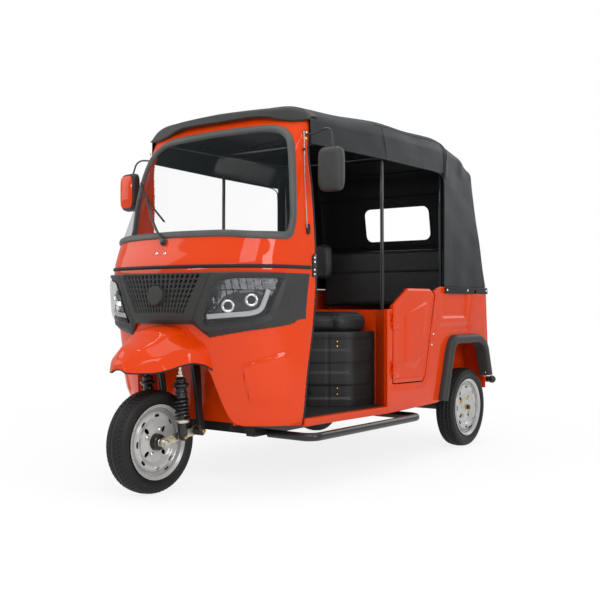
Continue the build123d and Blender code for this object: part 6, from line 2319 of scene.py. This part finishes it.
@dataclass
class Seats:
    """Driver's seat on its box, and the passengers' bench."""

    swell_cap: float = 24.0
    pressure: float = 4.0
    frames: int = 20
    seam_depth: float = 7.0
    overhang: float = 6.0
    crease_angle: float = 80.0
    box_plan: Sequence = (
        (-468, 1150), (-430, 979), (-242, 838), (242, 838), (430, 979), (468, 1150),
    )
    bands: Sequence = ((614, 673), (498, 549), (368, 434))
    pads: Sequence = (
        Pad(
            "driver_cushion",
            ((240, 836), (420, 972), (456, 1140), (-456, 1140), (-420, 972), (-240, 836)),
            708, 798, False, 44, 34, 11.5, 0.7, nodes=("driver_seat",),
        ),
        Pad(
            "driver_backrest", ((-222, 971), (222, 971), (222, 1180), (-222, 1180)),
            1100, 1152, True, 62, 24, 9.0, 0.8,
        ),
        Pad(
            "passenger_cushion", ((-554, 1750), (554, 1750), (554, 2122), (-554, 2122)),
            703, 792, False, 30, 34, 14.0, 0.7, lines=(-187, 187), nodes=("passenger_seat",),
        ),
        Pad(
            "passenger_backrest", ((-534, 806), (534, 806), (534, 1216), (-534, 1216)),
            2090, 2136, True, 40, 20, 14.0, 0.7, rows=(1045,),
        ),
    )

    def build(self) -> None:
        """Make the pads, the box and the bracket."""
        made = []
        for pad in self.pads:
            obj = piece(
                pad.name, pad.form(), Look.HIDE,
                replaces=pad.nodes, slot="seat_vinyl", closed=True, sharp=self.crease_angle,
            )
            skin = obj.modifiers.new("skin", "REMESH")
            skin.mode, skin.voxel_size = "VOXEL", pad.voxel * MM
            settle(obj, self.crease_angle)
            made.append(obj)
        self.swell(made)
        for pad, obj in zip(self.pads, made):
            self.sew(pad, obj)
        self.make_box()
        bars = ((1153, 1165, 819, 1100), (1148, 1156, 1000, 1100))
        bracket = Form.joined([Form.block(-60, 60, *bar) for bar in bars])
        piece("backrest_bracket", bracket, Look.BLACK_PAINT, slot="black_paint", bevel=1.5)

    def swell(self, made: Sequence[bpy.types.Object]) -> None:
        """Blow the pads up by a short cloth simulation, with each point's travel held.

        Args:
            made: The pads' objects.
        """
        scene = bpy.context.scene
        starts = [vertices_of(obj.data) for obj in made]
        for obj in made:
            cloth = obj.modifiers.new("stuffing", "CLOTH")
            cloth.settings.use_pressure = True
            cloth.settings.uniform_pressure_force = self.pressure
            cloth.settings.effector_weights.gravity = 0.0
            cloth.point_cache.frame_start, cloth.point_cache.frame_end = 1, self.frames
        for step in range(1, self.frames + 1):
            scene.frame_set(step)
        for obj, start in zip(made, starts):
            settle(obj, self.crease_angle)
            move = vertices_of(obj.data) - start
            length = np.linalg.norm(move, axis=1, keepdims=True)
            move *= np.minimum(1.0, self.swell_cap * MM / np.maximum(length, 1e-9))
            put_vertices(obj.data, start + move)
        scene.frame_set(1)

    def sew(self, pad: Pad, obj: bpy.types.Object) -> None:
        """Round the pad by one subdivision, hold it in its seat, then press in a seam round
        its rim, its sewn lines and soft creases near the rim.

        Args:
            pad: What the pad should be.
            obj: Its object.
        """
        fine = obj.modifiers.new("fine", "SUBSURF")
        fine.levels = fine.render_levels = 1
        settle(obj, self.crease_angle)
        at = vertices_of(obj.data) / MM - (0, FRONT_AXLE_Y, 0)
        outline = np.array(pad.outline, float)
        low, high = outline.min(0) - self.overhang, outline.max(0) + self.overhang
        across, along, deep = (0, 2, 1) if pad.upright else (0, 1, 2)
        below, face, seam_at = (4, -1, pad.low + 16) if pad.upright else (1, 1, pad.high - 20)
        at[:, across] = np.clip(at[:, across], low[0], high[0])
        at[:, along] = np.clip(at[:, along], low[1], high[1])
        at[:, deep] = np.clip(at[:, deep], pad.low - below, pad.high + 9)
        normal = vertices_of(obj.data, "normal")
        u, v, w = at[:, across], at[:, along], at[:, deep]
        near = smooth((70 - polygon_distance(u, v, pad.outline)) / 60)
        front = normal[:, deep] * face > -0.2
        height = -3.0 * bump((w - seam_at) / 3.0) * near
        for ways, places in ((u, pad.lines), (v, pad.rows)):
            for place in places:
                height -= self.seam_depth * bump((ways - place) / 6.0) * front
        crease = np.sin(u / 19 + v / 43) * np.sin(v / 27 - u / 71)
        height += 1.6 * crease * near * (1.0 if pad.upright else smooth((w - pad.low) / 30))
        put_vertices(obj.data, model(at + normal * height[:, None]))
        LOG.info("sewed %s: %d faces", obj.name, len(obj.data.polygons))

    def make_box(self) -> None:
        """Moulded seat box: its walls follow the plan, with sunk bands and an upright joint."""
        line = resample(fillet_line(self.box_plan, 34, 7), 9.0)
        heights = np.linspace(326, 706, 72)
        run = unit(np.gradient(line, axis=0))
        out = np.stack([run[:, 1], -run[:, 0]], 1)
        out *= np.sign(np.sum(out * (line - (0, 1200)), axis=1, keepdims=True))
        a, z = np.meshgrid(line[:, 1], heights, indexing="ij")
        sunk = np.zeros_like(z)
        for low, high in self.bands:
            box = np.minimum(np.minimum(z - low, high - z), 1118 - a)
            sunk = np.maximum(sunk, smooth(box / 5 + 0.5))
        joint = bump((np.abs(line[:, :1]) - 338) / 2.2) * (line[:, 1:] > 845)
        top = 6.0 * (1 - smooth((706 - z) / 8))
        height = -1.0 - 5.0 * sunk - 3.5 * joint - top
        flat = line[:, None] + out[:, None] * height[..., None]
        wall = Form.grid(np.stack([flat[..., 0], flat[..., 1], z], -1))
        rim = wall.points.reshape(len(line), -1, 3)[:, -1]
        lid = np.stack([rim * (share, 1, 1) for share in (1.0, 0.5, 0.0)], 1)
        piece(
            "seat_box_shell", wall + Form.grid(lid), Look.SEAT_PLASTIC,
            replaces=["seat_box"], slot="grey_plastic", sharp=50,
        )
        spots = [(376.0, 937.0, z) for z in (657.0, 632.0, 418.0, 388.0)]
        piece("seat_box_screws", bolt_heads(spots, (0.6, -0.8, 0), 5, 3).both(), Look.GOLD)
        knob = Form.turned([(0, 3), (9, 2), (11, -3)], (268, 857, 402), (0.6, -0.8, 0), 20)
        piece("seat_box_plug", knob, Look.RUBBER)


# ------------------------------------------------------------------ front end
@dataclass
class FrontEnd:
    """Leading-link fork with spring units, links, nuts and grips. All of it steers."""

    unit_x: float = 105.0
    low: tuple[float, float] = (95.0, 249.0)
    top: tuple[float, float] = (76.0, 592.0)
    pivot: tuple[float, float] = (208.0, 265.0)
    turns: float = 5.4
    body: str = "steering"

    def build(self) -> None:
        """Make every piece of the front end."""
        self.make_units()
        self.make_legs()
        self.make_links()
        self.make_grips()

    def make_units(self) -> None:
        """Spring units, turned about the line between their eyes, with a helix
        (r cos a, r sin a, pitch a) for the spring."""
        foot = np.array((self.unit_x, *self.low))
        head = np.array((self.unit_x, *self.top))
        axis = (head - foot) / np.linalg.norm(head - foot)
        body = [
            (0, 4), (20, 6), (23, 14), (23, 60), (20, 66), (17, 68), (17, 176), (24, 177), (28, 182),
            (25, 187), (29, 192), (25, 197), (29, 202), (24, 208), (22, 222), (28, 227), (36, 233),
            (37, 240), (34, 244), (24, 246), (22, 252), (25, 256), (25, 264), (14, 268), (11, 277),
        ]
        black = Form.turned(fillet_line(body, 2.5, 3), foot, axis, 32)
        turns = np.linspace(0, 2 * math.pi * self.turns, 140)
        e1 = np.array((1.0, 0, 0))
        e2 = np.cross(axis, e1)
        coil = foot + axis * (86 + 88 * turns / turns[-1])[:, None]
        coil = coil + 28.0 * (e1 * np.cos(turns)[:, None] + e2 * np.sin(turns)[:, None])
        eye = [(0, 13), (15, 13), (16, 11), (16, -11), (15, -13), (0, -13)]
        eye = Form.turned(eye, foot, LEFT, 28)
        made = black + Form.tube(coil, 5.4, 8) + eye
        piece(
            "spring_units", made.both(), Look.BLACK_PAINT, self.body,
            replaces=["fork_shocks"], slot="black_paint", sharp=40,
        )
        ring = [(18, 66), (31, 67), (33, 70), (33, 80), (30, 83), (18, 83)]
        nut = [(18, 276), (18, 283), (10, 284), (10, 300), (7, 302), (7, 342), (0, 342)]
        rings = Form.turned(ring, foot, axis, 32) + Form.turned(nut, foot, axis, 20)
        piece("spring_rings", rings.both(), Look.ZINC, self.body, slot="zinc", sharp=40)
        bolt = Form.turned([(0, 24), (5, 24), (6, 19), (9, 18), (9, 13)], foot, LEFT, 6)
        pivot = [(0, 34), (6, 34), (7, 28), (11, 27), (11, 13)]
        pivot = Form.turned(pivot, (self.unit_x, *self.pivot), LEFT, 6)
        piece("link_bolts", (bolt + pivot).both(), Look.GOLD, self.body, sharp=25)

    def make_legs(self) -> None:
        """Channel over each fork leg, from the yoke to the link's pivot."""
        side = [
            (136, 600), (186, 600), (199, 520), (207, 380), (226, 286), (228, 258), (208, 246),
            (192, 262), (186, 300), (172, 400), (160, 500),
        ]
        plate = Form.side_plate(side, 10, self.unit_x + 15, 5, 4)
        boss = [(0, 17), (19, 17), (21, 15), (21, -14)]
        boss = Form.turned(boss, (self.unit_x, *self.pivot), LEFT, 28)
        made = (plate + boss).both()
        piece("fork_channels", made, Look.BLACK_PAINT, self.body, slot="black_paint", bevel=1.0)
        dress("steering_fork", Look.BLACK_PAINT)
        dress("handlebar", Look.BLACK_PAINT)

    def make_links(self) -> None:
        """Castle nuts, washers and clamp plates on the axle's ends."""
        dress("swing_arms", Look.ZINC)
        axle = (0, 0, TYRE_R)
        washer = Form.turned([(11, 91), (19, 91), (19, 87), (11, 87)], axle, LEFT, 28)
        nut = [(0, 110), (6, 110), (7, 104), (14, 103), (15, 101), (15, 91)]
        nut = Form.turned(nut, axle, LEFT, 6)
        plate = [(-24, -17), (26, -20), (44, -6), (44, 12), (26, 20), (-24, 17)]
        plate = fillet_line(plate, 8, 4, closed=True)
        plate = Form.plate(plate, (87, 4, TYRE_R), (0, 1, 0.08), (0, -0.08, 1), 3)
        made = (washer + nut + plate).both()
        piece("axle_fittings", made, Look.ZINC, self.body, slot="zinc", bevel=0.6, sharp=30)
        pins = bolt_heads([(85.5, 40.0, 240.0), (85.5, 62.0, 245.0)], LEFT, 6, 6)
        piece("axle_clamp_bolts", pins.both(), Look.GOLD, self.body)

    def make_grips(self) -> None:
        """Ribbed rubber grips and hand levers at the ends of the handlebar."""
        start, end = np.array((188.0, 398.0, 1048.0)), np.array((294.0, 438.0, 1061.0))
        t = np.linspace(0, 1, 60)
        line = start + (end - start) * t[:, None]
        thick = 16.0 + 1.2 * np.sin(t * 2 * math.pi * 14) + 4.0 * bump((t - 0.03) / 0.03)
        piece("hand_grips", Form.tube(line, thick, 16).both(), Look.RUBBER, self.body, slot="rubber")
        lever = fillet_line([(170, 380, 1046), (200, 352, 1046), (285, 384, 1056)], 20, 5)
        piece("hand_levers", Form.tube(lever, 5.0, 10).both(), Look.DARK_METAL, self.body)


def main() -> None:
    """Build every part in order."""
    logging.basicConfig(level=logging.INFO, format="%(message)s")
    Studio().build()
    Cab().build()
    for wheel in (
        Wheel("front", "front_wheel", 0.0, 0.0, 1, Look.ZINC),
        Wheel("rear_left", "rear_wheel_left", REAR_HALF_TRACK, WHEELBASE, 1, Look.GOLD),
        Wheel("rear_right", "rear_wheel_right", -REAR_HALF_TRACK, WHEELBASE, -1, Look.GOLD),
    ):
        wheel.build()
    Body().build()
    Canopy().build()
    Seats().build()
    FrontEnd().build()


if __name__ == "__main__":
    main()
